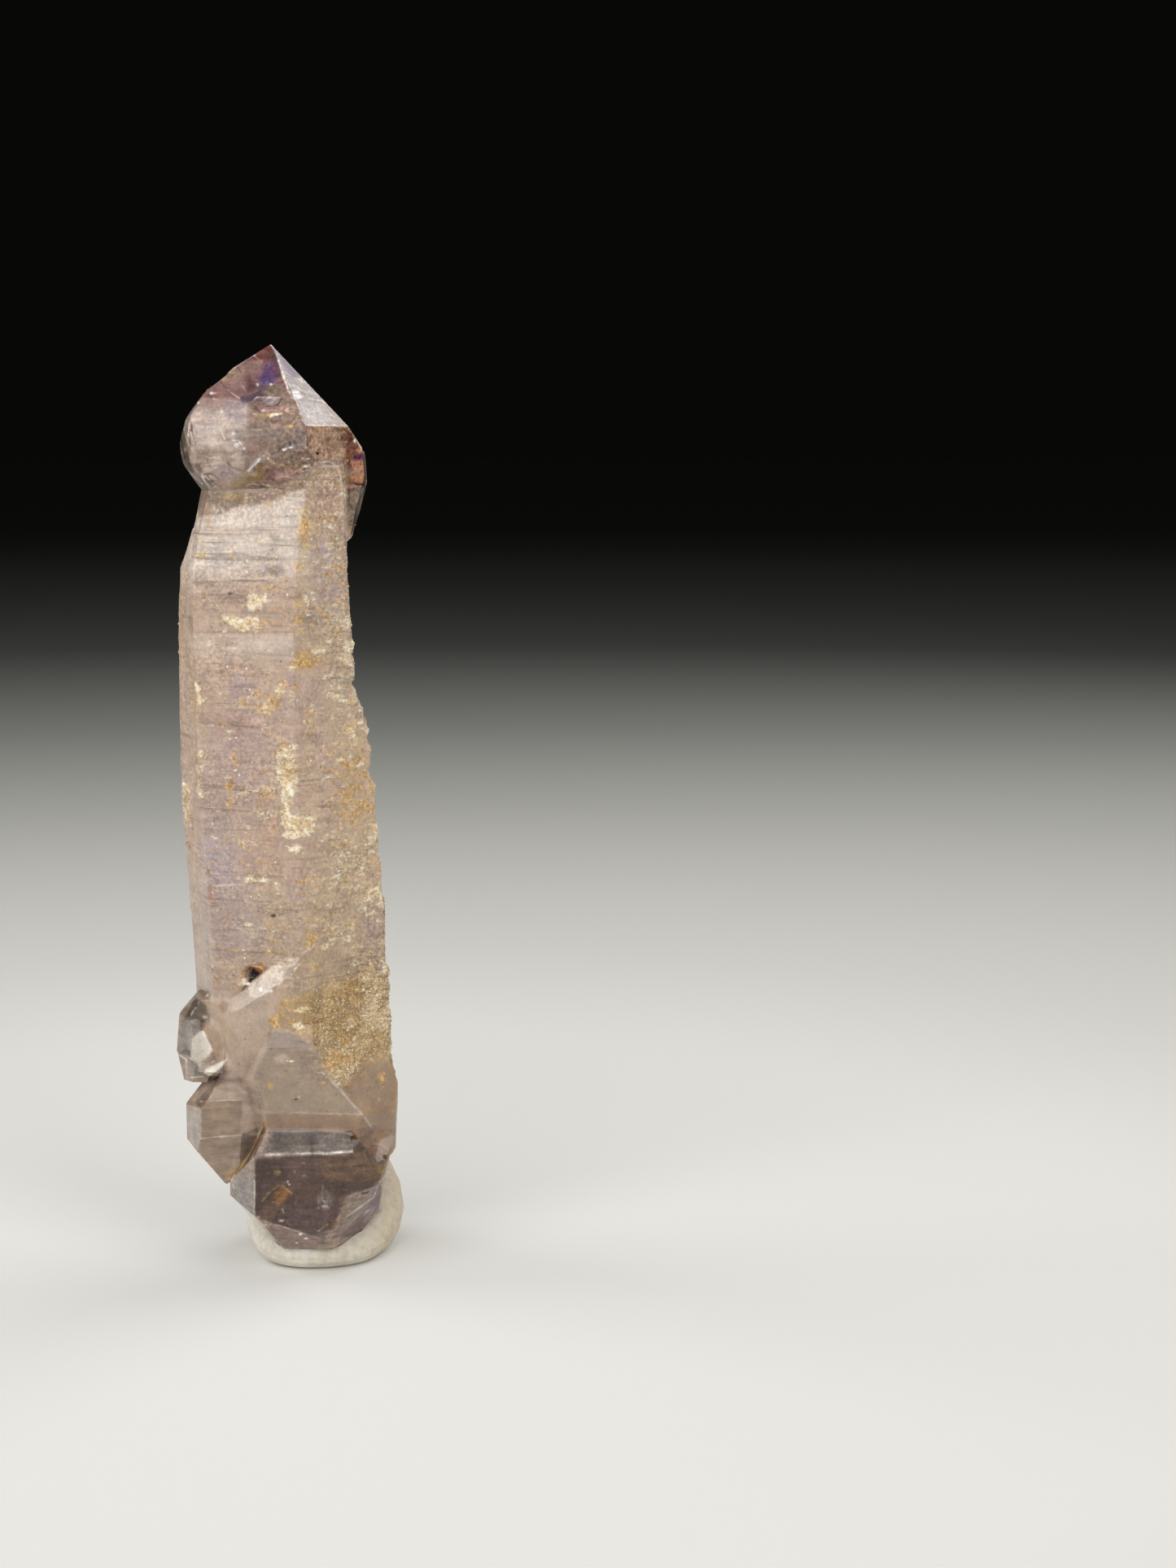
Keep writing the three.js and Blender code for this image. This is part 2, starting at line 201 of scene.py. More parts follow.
HEAD_MARKS = [
    # Big zones of the front
    area("head_clear", 0.6, 0.62, -15.1, 111.8, -6.3, 111.8, -6.5, 104.7, -11.9, 100.5, -15.3, 102.7),
    area("pink_mauve", 0.6, 0.62, -12.1, 112.2, -6.3, 111.6, -6.3, 110.7, -12.6, 110.6),
    area("head_grey", 0.35, 0.82, -13.2, 104.7, -6.8, 104.7, -6.8, 101.1, -11.9, 100.7),
    area("head_beige", 1, 0.62, -5.9, 111.1, -0.6, 111.8, 1.3, 108.7, 2.3, 103.9, -0.8, 100.1, -6.8, 100.3,
        -6.5, 105.7),
    area("mauve", 0.9, 0.41, -3, 119, -11.6, 113.8, -11.9, 111.9, -6.6, 111.5, -5.5, 112.6, -4.8, 114.9,
        -3.5, 116.5),
    area("pink_mauve", 0.6, 0.41, -10.4, 113.2, -6.7, 115.6, -5.6, 114.6, -6.6, 112.8, -9.6, 112),
    area("head_tan", 0.4, 0.41, -7.3, 115.6, -4, 116.5, -4.5, 115, -6.5, 114.8),
    # Tip
    area("tip_brown", 0.9, 0.21, -3.4, 118.1, -4.7, 117.2, -5.4, 116.5, -3.9, 116.2, -2.7, 116.6, -2.7,
        117.5),
    spot("skirt_brown", 0.6, 0.21, -4, 117.1, 0.51, 0.31),
    area("dark_brown", 0.7, 0.15, -3.4, 117.7, -2.7, 117.5, -2.6, 116.8, -3.1, 116.2, -3.4, 116.7),
    line("pink_mauve", 0.8, 0.07, -5.2, 116.8, -4.7, 116.3),
    line("mauve_dark", 0.7, 0.08, -5.4, 116.6, -4.7, 116, -4.1, 115.6, -3.7, 115.3),
    spot("glint", 0.8, 0.06, -5.3, 116.9, 0.15, 0.1),
    area("mauve_dark", 0.7, 0.21, -2.7, 116.5, -2.3, 115.8, -2.1, 114.4, -2.7, 114.4, -2.9, 115.6),
    spot("violet", 0.85, 0.31, -3.4, 114.8, 0.82, 0.72),
    spot("violet", 0.7, 0.21, -3.9, 114.3, 0.51, 0.41),
    spot("mauve_dark", 0.9, 0.15, -2.6, 114.9, 0.21, 0.31),
    spot("lilac", 0.5, 0.1, -3.4, 115.8, 0.21, 0.21),
    spot("lilac", 0.4, 0.15, -3.3, 114.5, 0.31, 0.21),
    area("indigo", 0.85, 0.21, -4.8, 114, -3.1, 114.2, -2.3, 113.9, -2.8, 113.6, -4.4, 113.3),
    spot("deep_blue", 0.75, 0.15, -4.1, 113, 0.92, 0.31),
    line("lilac", 0.7, 0.08, -4.4, 113.5, -3.6, 113.7),
    spot("glint", 0.8, 0.07, -3.3, 113.4, 0.15, 0.12),
    spot("glint", 0.7, 0.07, -4.9, 113.3, 0.15, 0.21),
    spot("dark_swirl", 0.8, 0.07, -4.8, 113.4, 0.08, 0.15),
    area("mauve_dark", 0.85, 0.26, -6.3, 114, -5.8, 114.4, -5.4, 113.6, -5, 112.8, -5.8, 112.3, -6.3,
        112.6),
    spot("brown", 0.5, 0.31, -6.1, 114.4, 0.51, 0.41),
    area("slate", 0.9, 0.15, -7, 111.8, -6, 112.1, -4.8, 112.6, -3.9, 112.1, -4.4, 111.9, -5.4, 111.6, -6.2,
        111.1, -7, 111.1),
    line("slate", 0.7, 0.1, -5, 112.8, -4.4, 112.5, -3.8, 112.1),
    area("grey_green", 0.75, 0.26, -4, 113, -2.8, 113.4, -2, 113, -1.6, 112.2, -3, 111.9, -4, 112.3),
    area("lilac_grey", 0.95, 0.1, -4.4, 111.7, -2.4, 111.8, -2.6, 111.2, -3.2, 110.9, -3.8, 110.9, -4.3,
        111.2),
    line("pale_line", 0.9, 0.1, -5.3, 111.5, -5, 111.8, -4.6, 111.8, -3.6, 111.8, -2.4, 111.8),
    line("mauve_dark", 0.9, 0.1, -3.9, 110.7, -3.1, 110.7, -2.5, 110.9, -2, 111.6),
    spot("mauve_dark", 0.6, 0.15, -4.8, 111.4, 0.41, 0.21),
    line("pink_mauve", 0.7, 0.1, -5.4, 111, -4.6, 111.2, -4, 110.9),
    area("pink_mauve", 0.6, 0.15, -4.4, 110.6, -1.6, 110.6, -1.4, 110, -4.2, 109.9),
    area("mauve_dark", 0.75, 0.15, -5.4, 110.7, -4.8, 110.8, -4.5, 110.3, -4.8, 110, -5.4, 110.2),
    line("pink_mauve", 0.8, 0.1, -4.9, 110.7, -4.5, 110.1),
    spot("rosy", 0.7, 0.1, -4.3, 110.2, 0.21, 0.12),
    area("head_tan", 0.8, 0.31, -2, 113.2, -1.4, 112.2, 0.1, 109.6, 0.7, 108.5, -0.5, 108.5, -1.4, 110.1,
        -1.8, 111.6),
    line("yellow", 0.95, 0.18, -5.1, 109.6, -3.2, 109.6),
    line("cream_line", 1, 0.16, -3.4, 109.6, -2.1, 109.8),
    spot("glint", 0.9, 0.08, -2.6, 109.7, 0.31, 0.15),
    line("rosy", 0.6, 0.08, -5.6, 109.8, -5.1, 109.6),
    spot("rosy", 0.6, 0.1, -1.4, 110.2, 0.26, 0.31),
    # Left slope
    area("head_tan", 0.6, 0.26, -9.5, 114.4, -7.5, 115.4, -6.5, 115, -7.4, 114, -9.2, 113.4),
    spot("gold", 0.8, 0.15, -9.1, 114.1, 0.41, 0.26),
    spot("yellow", 0.7, 0.1, -7.9, 114.8, 0.31, 0.15),
    line("gold", 0.6, 0.08, -8.1, 115, -7.6, 114.5),
    area("brown", 0.4, 0.21, -10.6, 113.6, -9.8, 114, -9.6, 113.2, -10.2, 112.8),
    line("brown", 0.85, 0.09, -9.8, 114.2, -9.4, 113.6, -9, 113.1, -8.7, 112.9),
    line("brown", 0.7, 0.09, -7.3, 115.4, -7, 114.9),
    line("brown", 0.5, 0.08, -8.8, 113.8, -8.2, 114.3, -7.7, 114.7),
    line("rosy", 1, 0.08, -8.6, 112.7, -8, 112.2, -7.2, 111.7),
    line("pink_mauve", 0.7, 0.07, -8.3, 113.5, -7.6, 113.7, -7, 113.8),
    line("rosy", 0.6, 0.07, -7.1, 113.6, -6.7, 113, -6.3, 112.4),
    spot("glint", 1, 0.08, -10.6, 112.3, 0.15, 0.12),
    spot("rosy", 0.8, 0.08, -10.2, 112.3, 0.18, 0.12),
    spot("brown", 0.5, 0.15, -11.2, 112, 0.41, 0.21),
    line("brown", 0.6, 0.08, -11, 112.1, -10.6, 111.7),
    line("rosy", 0.6, 0.06, -10.4, 111.6, -10, 111.5),
    # Painted highlights along the head's upper left edge
    line("pale_line", 0.8, 0.07, -10.9, 113.5, -9.6, 114.2, -8.2, 114.9, -7.3, 115.7, -6.5, 116.2, -5.4,
        116.9, -4.5, 117.6),
    line("pale_line", 0.9, 0.09, -11.2, 112.8, -11, 113.3, -10.7, 113.5),
    # Veils and glints of the clear left part
    area("lilac_grey", 0.6, 0.41, -9.1, 111.3, -6.4, 111.2, -6.4, 108.7, -8.2, 108.5, -9, 109.8),
    spot("pale", 0.5, 0.26, -9.8, 109.9, 0.41, 0.51),
    spot("glint", 0.6, 0.08, -9.4, 110.1, 0.12, 0.26),
    line("pale_line", 0.7, 0.07, -11.1, 109.9, -10.5, 109.4, -9.7, 108.7),
    line("pale_line", 0.6, 0.07, -12.7, 108.9, -10.9, 108.7, -9.2, 108.6),
    line("white", 0.9, 0.08, -9.9, 108.6, -9.2, 108.6),
    spot("pale", 0.6, 0.21, -8.2, 109, 0.41, 0.31),
    line("dim_line", 0.5, 0.12, -6.4, 111, -6.6, 107.2),
    line("glint", 1, 0.07, -10.9, 107.8, -9.5, 107.8),
    line("glint", 1, 0.09, -10, 107.9, -9.6, 107.8, -9.3, 107.2, -9.1, 106.7),
    line("dim_line", 0.5, 0.06, -9.1, 107.8, -6.5, 107.8),
    line("pale_line", 0.8, 0.07, -9.7, 107.4, -10.2, 106.6, -10.6, 105.9),
    line("pale_line", 0.7, 0.07, -9, 106.6, -8.5, 106),
    area("cool_grey", 0.45, 0.26, -7.9, 107.9, -6.7, 107.9, -6.6, 106.2, -7.6, 106.7),
    spot("mauve", 0.3, 0.21, -8.7, 107.6, 0.41, 0.21),
    spot("glint", 1, 0.12, -8.1, 107.4, 0.21, 0.18),
    spot("glint", 1, 0.12, -8, 106.5, 0.26, 0.15),
    spot("glint", 1, 0.12, -7.7, 106, 0.26, 0.21),
    line("white", 0.8, 0.07, -7.5, 106.6, -7.1, 106.1),
    spot("glint", 0.9, 0.07, -6.7, 105.6, 0.1, 0.16),
    spot("dim", 0.6, 0.15, -6.8, 105.1, 0.26, 0.31),
    spot("pale_line", 0.6, 0.07, -12.2, 107.1, 0.15, 0.1),
    spot("pale_line", 0.6, 0.07, -11.7, 106.7, 0.12, 0.1),
    spot("pale_line", 0.6, 0.07, -12.2, 106.4, 0.15, 0.1),
    spot("pale_line", 0.5, 0.08, -11.7, 107.4, 0.1, 0.21),
    area("head_grey", 0.5, 0.31, -12.7, 105.5, -9.2, 105.9, -8.3, 104.7, -10.6, 104.1, -12.6, 104.5),
    line("pale_line", 0.7, 0.07, -11.8, 104.7, -11, 104.4, -10.4, 104.5),
    line("pale_line", 0.8, 0.08, -9.2, 104.3, -8.6, 104.5, -8, 104.7, -7.6, 105.1),
    line("dim", 0.6, 0.07, -11.7, 104.5, -10.8, 104),
    spot("pale", 0.5, 0.15, -10, 104.4, 0.41, 0.21),
    area("lilac_grey", 0.35, 0.31, -10.6, 103.7, -8.3, 103.5, -7.3, 102.5, -9.3, 101.5, -10.6, 102.3),
    line("pale_line", 0.7, 0.06, -12.2, 103.5, -10.6, 103.6),
    line("pale_line", 0.7, 0.06, -12.2, 102.9, -10.6, 103),
    line("pale_line", 0.5, 0.06, -11.8, 103.2, -9.8, 103.3),
    line("dim", 0.4, 0.07, -11.8, 103.4, -10.4, 103.4),
    line("dim", 0.4, 0.07, -10.6, 102.6, -8.8, 102.5),
    line("dim", 0.9, 0.09, -8.9, 103.9, -8.4, 103.4, -7.7, 103, -7.1, 102.9),
    spot("dark", 0.7, 0.06, -11.8, 103.7, 0.1, 0.1),
    # Dark swirl, rim and lower left
    line("dark_swirl", 0.8, 0.09, -11.6, 102.4, -11, 102.5, -10.4, 102.2, -10, 101.8, -9.8, 101.2),
    line("dark_swirl", 0.9, 0.1, -11.6, 101.9, -11.1, 101.4, -10.7, 100.9),
    line("dark_swirl", 0.7, 0.08, -11.3, 102.2, -10.8, 101.7, -10.2, 101.1),
    spot("dark_swirl", 0.6, 0.1, -10.8, 101.6, 0.31, 0.21),
    spot("pale", 0.5, 0.1, -10.4, 100.9, 0.21, 0.15),
    line("pale_line", 0.9, 0.09, -12.2, 102.7, -11.9, 102.1, -11.7, 101.5),
    area("brown", 0.55, 0.15, -13.7, 103.8, -12.2, 103.8, -11.9, 103, -12.2, 102.2, -12.8, 103),
    area("pale", 0.6, 0.15, -13.5, 103, -12.8, 102.8, -12.3, 102.1, -12, 101.3, -12.8, 101.9),
    line("glint", 1, 0.08, -13.5, 102.8, -12.8, 101.9, -12, 101.2),
    area("grey_green", 0.8, 0.21, -14.4, 107.7, -13.5, 107.9, -13.1, 106.2, -13.6, 104.1, -14.2, 104.1,
        -14.6, 105.7),
    line("brown", 0.7, 0.1, -13.5, 109.5, -13.2, 108.5, -13.1, 107.4, -12.7, 106.1),
    line("brown", 0.6, 0.08, -13.8, 109.5, -14, 108.7),
    line("dim", 0.7, 0.08, -13.9, 105.9, -13.7, 104.7, -13.2, 103.9),
    line("pale_line", 0.9, 0.07, -14.1, 109, -14.2, 108.4, -14, 107.9, -13.6, 107.7),
    line("pale_line", 0.9, 0.08, -13.3, 107.6, -13.1, 106.9),
    spot("pale_line", 0.7, 0.08, -14, 105.4, 0.12, 0.26),
    spot("pale_line", 0.6, 0.08, -13.2, 105.6, 0.1, 0.21),
    line("dim_line", 0.6, 0.07, -12.9, 108.7, -12.6, 107.7),
    line("glint", 1, 0.09, -13.4, 110, -13.2, 110.3, -12.9, 110.6),
    spot("glint", 0.9, 0.08, -12.3, 111.2, 0.12, 0.15),
    # Painted highlights along the left rim
    line("pale_line", 0.7, 0.06, -12.8, 110.9, -13.3, 109.9, -14, 109.2),
    line("pale_line", 0.7, 0.06, -14.4, 108.7, -14.6, 106.7, -14.8, 105.5, -14.2, 104.1, -13.6, 103),
    # Beige middle
    area("pink_mauve", 0.4, 0.31, -6.4, 106.2, -5.1, 106.2, -4.9, 104.7, -6.3, 104.1),
    line("pale_line", 0.7, 0.07, -5.7, 107.8, -4.5, 107.9),
    spot("slate", 0.4, 0.1, -5.4, 108.2, 0.31, 0.15),
    area("gold", 0.7, 0.15, -1.6, 108.4, -0.6, 108.5, -0.5, 108.1, -1.5, 108),
    spot("yellow", 0.8, 0.08, -1, 108.3, 0.21, 0.1),
    spot("brown", 0.7, 0.1, -1.4, 107.3, 0.21, 0.15),
    spot("mauve_dark", 0.7, 0.1, -0.2, 107.7, 0.26, 0.21),
    spot("mauve_dark", 0.6, 0.08, -0.1, 107.1, 0.21, 0.21),
    spot("mauve_dark", 0.5, 0.1, 0.7, 107.5, 0.31, 0.26),
    spot("slate", 0.95, 0.08, -1.1, 106.2, 0.21, 0.36),
    spot("slate", 0.9, 0.08, -0.5, 106.3, 0.21, 0.26),
    line("slate", 0.7, 0.08, -0.3, 106.8, 0.1, 107.3),
    line("slate", 0.8, 0.1, -2.6, 104.9, -2.3, 105.6, -1.7, 106.1, -1.3, 106.2),
    line("glint", 1, 0.1, -1.9, 105.4, -1.4, 105.6, -0.8, 105.7),
    spot("glint", 1, 0.07, -1.9, 105.4, 0.15, 0.12),
    line("lilac_grey", 0.8, 0.08, -0.8, 106.2, -0.6, 105.7),
    line("silver", 0.9, 0.1, 0.9, 107.2, 0.9, 106.6),
    line("slate", 0.9, 0.1, 1.2, 106.9, 1.1, 106),
    spot("silver", 0.7, 0.07, 1, 105.7, 0.21, 0.08),
    line("lilac_grey", 0.8, 0.12, -4.7, 104.6, -4.2, 104.9, -3.5, 105),
    spot("slate", 0.5, 0.12, -3.2, 105, 0.31, 0.21),
    line("silver", 0.9, 0.18, -6.3, 102.8, -5.7, 103.4, -5.1, 104.1, -4.4, 104.7),
    line("mauve_dark", 0.4, 0.08, -5.9, 102.9, -5.2, 103.7, -4.4, 104.4),
    line("glint", 0.9, 0.08, -5.5, 103.5, -4.9, 104.1),
    area("gold_dim", 0.7, 0.26, -5, 103.9, -4.4, 103.6, -4, 102.3, -4.6, 101.5, -5.4, 101.9, -5.6, 102.7),
    spot("dark_swirl", 0.7, 0.1, -5.4, 103, 0.21, 0.26),
    area("brown_gold", 0.7, 0.31, -6.8, 102.5, -4.8, 102.5, -4.2, 101.7, -5.6, 101.3, -6.8, 101.5),
    area("brown_gold", 0.6, 0.31, -8.4, 101.5, -6.6, 102.1, -6.4, 100.7, -7.3, 99.9, -8.5, 99.5),
    spot("yellow", 0.6, 0.15, -7.8, 101, 0.31, 0.21),
    line("yellow", 0.5, 0.15, -7.2, 102.4, -6.4, 102.7),
    area("grey_green", 0.7, 0.15, -2.9, 104.5, -1.5, 105.1, -0.9, 104.7, -1.8, 103.9, -3, 103.8),
    line("yellow", 0.8, 0.09, -3.9, 104.5, -3.7, 104, -3.2, 103.8, -2.6, 103.7, -1.8, 103.5),
    spot("cream_line", 0.8, 0.08, -3.8, 104.3, 0.15, 0.21),
    area("green_tint", 0.8, 0.15, -1.6, 103.9, -0.5, 104.2, -0.2, 103.7, -1.4, 103.6),
    line("dark", 0.9, 0.06, -2.2, 103.7, -1.5, 104.1, -0.9, 104.4, -0.4, 104.6),
    spot("mauve_dark", 0.5, 0.21, -2.3, 103, 0.62, 0.31),
    area("mauve", 0.6, 0.26, -4.3, 103.2, -3, 103.3, -2.3, 102.4, -3, 101.7, -4.2, 101.7),
    spot("mauve_dark", 0.4, 0.21, -3.3, 102.1, 0.51, 0.31),
    area("pink_mauve", 0.6, 0.31, -3, 102.7, 0, 102.9, 0.8, 101.7, -1.6, 101, -3.2, 101.1),
    line("rosy", 0.7, 0.08, -4.6, 101.2, -3.8, 101, -2.8, 100.8),
    line("mauve_dark", 0.6, 0.1, -5.2, 101.1, -4.4, 100.9, -3.8, 100.6),
    spot("rosy", 0.7, 0.08, -3.9, 101.1, 0.21, 0.1),
    line("rosy", 0.6, 0.08, -6.6, 101, -5.8, 101.3, -5, 101.1),
    line("cream_line", 0.95, 0.13, -0.5, 102.7, 0.2, 103, 0.7, 103.4, 1.3, 103.6),
    spot("glint", 0.8, 0.08, 1, 103.4, 0.31, 0.12),
    line("pale_line", 0.6, 0.07, 0, 102.6, 1, 103),
    line("pale_line", 0.8, 0.08, -1.4, 102, -0.6, 102),
    line("pale_line", 0.8, 0.08, -0.2, 101.7, 0.6, 101.9),
    line("pale_line", 0.5, 0.07, -2.8, 101.9, -1.6, 102.2),
    line("cream_line", 0.8, 0.08, -1.6, 100.7, -1, 101, -0.2, 101.3, 0.6, 101.6),
    line("dim_line", 0.6, 0.07, -3.2, 100.6, -2.4, 100.7),
    line("rosy", 0.8, 0.09, 1.4, 101.7, 2, 102.3, 2.8, 102.7, 3.3, 103.1),
    line("pale_line", 0.6, 0.07, 1.2, 102.2, 2, 102.9, 2.9, 103.4),
    spot("rosy", 0.8, 0.1, 0.4, 104.4, 0.21, 0.1),
    spot("white", 0.9, 0.08, 1.1, 104.3, 0.36, 0.12),
    spot("rosy", 0.6, 0.08, 1.5, 105.1, 0.15, 0.15),
    spot("rosy", 0.5, 0.08, -1, 105, 0.15, 0.1),
    spot("slate", 0.5, 0.12, 2.2, 104.3, 0.21, 0.21),
    spot("slate", 0.4, 0.1, 0.2, 104.9, 0.31, 0.15),
    # Right of the ridge: the bright facet
    area("bright_facet", 1, 0.1, -2.9, 118.1, 6.4, 108.5, 0.9, 108.5, -0, 111.4, -1.4, 112.8, -2.2, 115.8),
    area("violet", 0.95, 0.31, -2.2, 117.3, -0.5, 115.6, 0.4, 114.4, -0.4, 114.2, -1.4, 115, -2, 116.2),
    spot("mauve_dark", 0.6, 0.21, -0.5, 114.8, 0.31, 0.51),
    line("mauve_dark", 0.6, 0.1, -1.2, 116, -0.8, 115.2, -0.2, 114.4),
    line("facet_white", 0.9, 0.16, -2.1, 115.8, -1.6, 114.4, -1.1, 113.2),
    area("facet_white", 0.9, 0.31, 0.2, 111.2, 2.6, 110.8, 3.8, 109.5, 3.7, 108.6, 1.1, 108.6, 0.6, 110),
    line("pale_line", 0.8, 0.08, 0.2, 114.1, 0.6, 113.6, 1.2, 113.7, 1.5, 113.4),
    line("dim", 0.6, 0.08, -0.6, 113.5, 0, 113.2, 0.6, 112.8),
    line("pale_line", 0.8, 0.07, -0.6, 113.3, 0.2, 112.8, 1, 112.4, 2.4, 112.2, 3.2, 111.6),
    spot("glint", 1, 0.15, -0.2, 112.3, 0.41, 0.41),
    spot("glint", 0.8, 0.1, -0.2, 111.8, 0.51, 0.15),
    line("dim", 0.7, 0.09, 0.6, 112.6, 1, 111.8),
    line("dim", 0.8, 0.1, 1.4, 111.5, 2.2, 111.2, 3.2, 111.1),
    line("pale_line", 0.9, 0.1, 1.4, 111.7, 2.2, 111.5, 3, 111.4, 3.6, 111),
    line("dim", 0.6, 0.08, 2.2, 111.9, 3, 111.8),
    spot("dim", 0.4, 0.21, 1.2, 113, 0.62, 0.31),
    area("facet_mauve", 0.8, 0.21, 3.2, 111, 4.6, 110, 6.1, 108.5, 3.9, 108.6, 3.4, 109.8),
    line("pale_line", 0.8, 0.07, 3.8, 109.9, 4.5, 109.3),
    line("rosy", 0.8, 0.07, 4.6, 110, 5.3, 109.3, 6.1, 108.6),
    line("dim", 0.8, 0.08, 4.1, 109.5, 4.7, 108.7),
    line("white", 0.7, 0.06, 1.4, 113.6, 3.4, 111.4, 4.4, 110.3),
    # Painted highlights along the ridge and the lower edge of the bright facet
    line("white", 0.9, 0.1, -2.3, 116.2, -2, 115.1, -1.4, 113.4, -1.2, 112.6),
    line("pale_line", 0.7, 0.08, -1.2, 112.6, -0.4, 111.6, 0.1, 110.6, 0.4, 109.2, 0.9, 108.4),
    line("pale_line", 0.8, 0.08, 0.9, 108.4, 3.3, 108.4, 4.7, 108.4),
    line("glint", 1, 0.08, -3.8, 118, -3.4, 118.2, -3.1, 118.1, -2.9, 117.8),
    # Brown zone under it
    area("head_brown", 0.95, 0.15, 0.9, 108.3, 6.2, 108.3, 7, 107.3, 6.1, 104.5, 2.9, 104.1, 1.3, 104.7),
    area("brown", 0.7, 0.15, 4.4, 108.1, 5.7, 108.1, 6, 107.7, 4.7, 107.7),
    area("brown", 0.8, 0.15, 5.2, 107.3, 6.5, 107.5, 6.8, 106.7, 5.7, 106.4, 5.1, 106.6),
    line("head_brown", 0.7, 0.1, 5.1, 107.6, 6.1, 107.5),
    spot("brown", 0.5, 0.15, 5.7, 105.9, 0.31, 0.31),
    line("rust", 0.5, 0.09, 5.3, 106.1, 5.9, 106.7, 6.5, 106.2),
    spot("brown", 0.6, 0.1, 3.7, 106.6, 0.21, 0.21),
    spot("dark_brown", 0.5, 0.08, 1.7, 108, 0.15, 0.15),
    spot("dark_brown", 0.4, 0.08, 3.3, 107.7, 0.15, 0.15),
    spot("dark_brown", 0.4, 0.08, 4.3, 105.8, 0.15, 0.15),
    spot("rosy", 0.5, 0.08, 5.7, 106.4, 0.26, 0.08),
    spot("rosy", 0.5, 0.08, 2.8, 106.1, 0.15, 0.15),
    spot("rosy", 0.5, 0.08, 2, 106.6, 0.15, 0.15),
    spot("dark", 1, 0.05, 2.3, 105, 0.21, 0.18),
    line("rosy", 0.5, 0.07, 1.9, 103.8, 2.9, 103.9),
    line("pale_line", 0.9, 0.1, 2.9, 103.9, 3.7, 104, 4.3, 103.7, 5, 103.2),
    spot("white", 0.7, 0.08, 4.6, 103.4, 0.31, 0.12),
    spot("cream_line", 0.9, 0.07, 4.6, 104.3, 0.18, 0.12),
    spot("cream_line", 0.8, 0.07, 4.1, 104.4, 0.12, 0.12),
    # The skirt on the right
    area("skirt_brown", 1, 0.15, 5.9, 108, 6.7, 107.1, 8, 105.1, 8.1, 101, 5.6, 101.1, 5.2, 103.7, 5.9,
        105.9),
    spot("dark_brown", 0.9, 0.12, 6.9, 105.6, 0.31, 0.21),
    spot("brown", 0.7, 0.15, 6.5, 106.6, 0.41, 0.31),
    spot("skirt_orange", 0.8, 0.12, 7.4, 105.3, 0.31, 0.26),
    spot("glint", 1, 0.08, 6.9, 106.5, 0.16, 0.25),
    # Painted highlight along the skirt's right rim
    line("white", 0.9, 0.06, 7.1, 106.6, 7.6, 105.7, 8, 105),
    area("violet", 0.75, 0.1, 6.8, 104.9, 7.8, 104.9, 7.9, 104.2, 6.8, 104.2),
    area("skirt_pink", 0.8, 0.15, 6.4, 104.1, 8.1, 104.1, 8.1, 103.2, 6.5, 103.2),
    area("skirt_orange", 0.9, 0.21, 6.7, 103.3, 8.1, 103.3, 7.9, 101.5, 7, 101.5, 6.2, 101.9),
    area("gold_dim", 0.5, 0.21, 5.6, 102.9, 6.5, 102.7, 6.4, 101.5, 5.6, 101.5),
    area("wedge_dark", 1, 0.1, 5.6, 100.7, 8.2, 100.9, 6.7, 95, 5.6, 93.7, 5.8, 96.2),
    area("skirt_pink", 0.6, 0.1, 6, 101.2, 6.8, 101.1, 7.2, 100.8, 6.2, 100.5),
    line("dark", 1, 0.07, 6.8, 101.3, 7.4, 101.2, 8, 101.1),
    area("wedge_dark", 1, 0.1, 5.3, 100.2, 6, 100.1, 5.9, 96.2, 5.4, 96.7),
    area("wedge_light", 0.9, 0.15, 6.1, 100.4, 7.1, 100.7, 6.9, 97.7, 6.4, 95.7, 6.1, 96.7),
    area("pale", 0.4, 0.1, 7.2, 100.7, 7.8, 100.7, 7.3, 96.7, 6.9, 96.7),
    # Painted highlight along the wedge's right edge
    line("pale_line", 0.8, 0.08, 7.8, 100.7, 7.6, 98.7, 7.1, 96.5, 6.6, 95.2),
    line("skirt_orange", 0.9, 0.21, 6.6, 96.3, 6.2, 95.2, 5.7, 94.3),
    line("pale_line", 0.7, 0.08, 5.8, 94.2, 6.5, 95.2),
    line("rosy", 0.7, 0.1, 5, 103, 5.2, 101.9),
    line("glint", 0.9, 0.13, 5.1, 102.1, 5.3, 101.3, 5.5, 100.7, 5.8, 100.2),
    # Left rim of the head: painted highlights and glints along its edges, and painted shade in a dark band
    # just inside them
    area("dim", 0.5, 0.21, -15, 107.5, -14.3, 108.6, -14.1, 106.1, -14.8, 104.5),
    area("dark_swirl", 0.4, 0.21, -14.7, 104.7, -14, 105.1, -13, 102.7, -13.8, 102.5),
    line("pale_line", 0.8, 0.08, -12.9, 110.7, -13.8, 108.8, -14, 107.5, -13.5, 105.9),
    line("dark_swirl", 0.7, 0.08, -13.3, 110.7, -14.2, 108.8, -14.5, 107.2, -14.2, 104.7, -13.2, 102.7),
    line("glint", 1, 0.09, -13.4, 110.6, -13.8, 109.9),
    line("glint", 0.9, 0.09, -14.6, 108.8, -14.8, 108),
    line("pale", 0.7, 0.08, -14.9, 106.7, -14.8, 104.7, -14.1, 103.1),
    line("dark", 0.5, 0.08, -14.4, 103.7, -13.6, 102.3, -12.7, 101.3),
    line("glint", 0.8, 0.08, -13.7, 102.3, -12.7, 101.2),
    line("white", 0.6, 0.07, -14.1, 107.9, -13.5, 107.1),
    line("dark_swirl", 0.5, 0.08, -12.1, 112.6, -13, 111.6),
    line("glint", 0.7, 0.08, -11.4, 113.3, -12, 112.7),
]

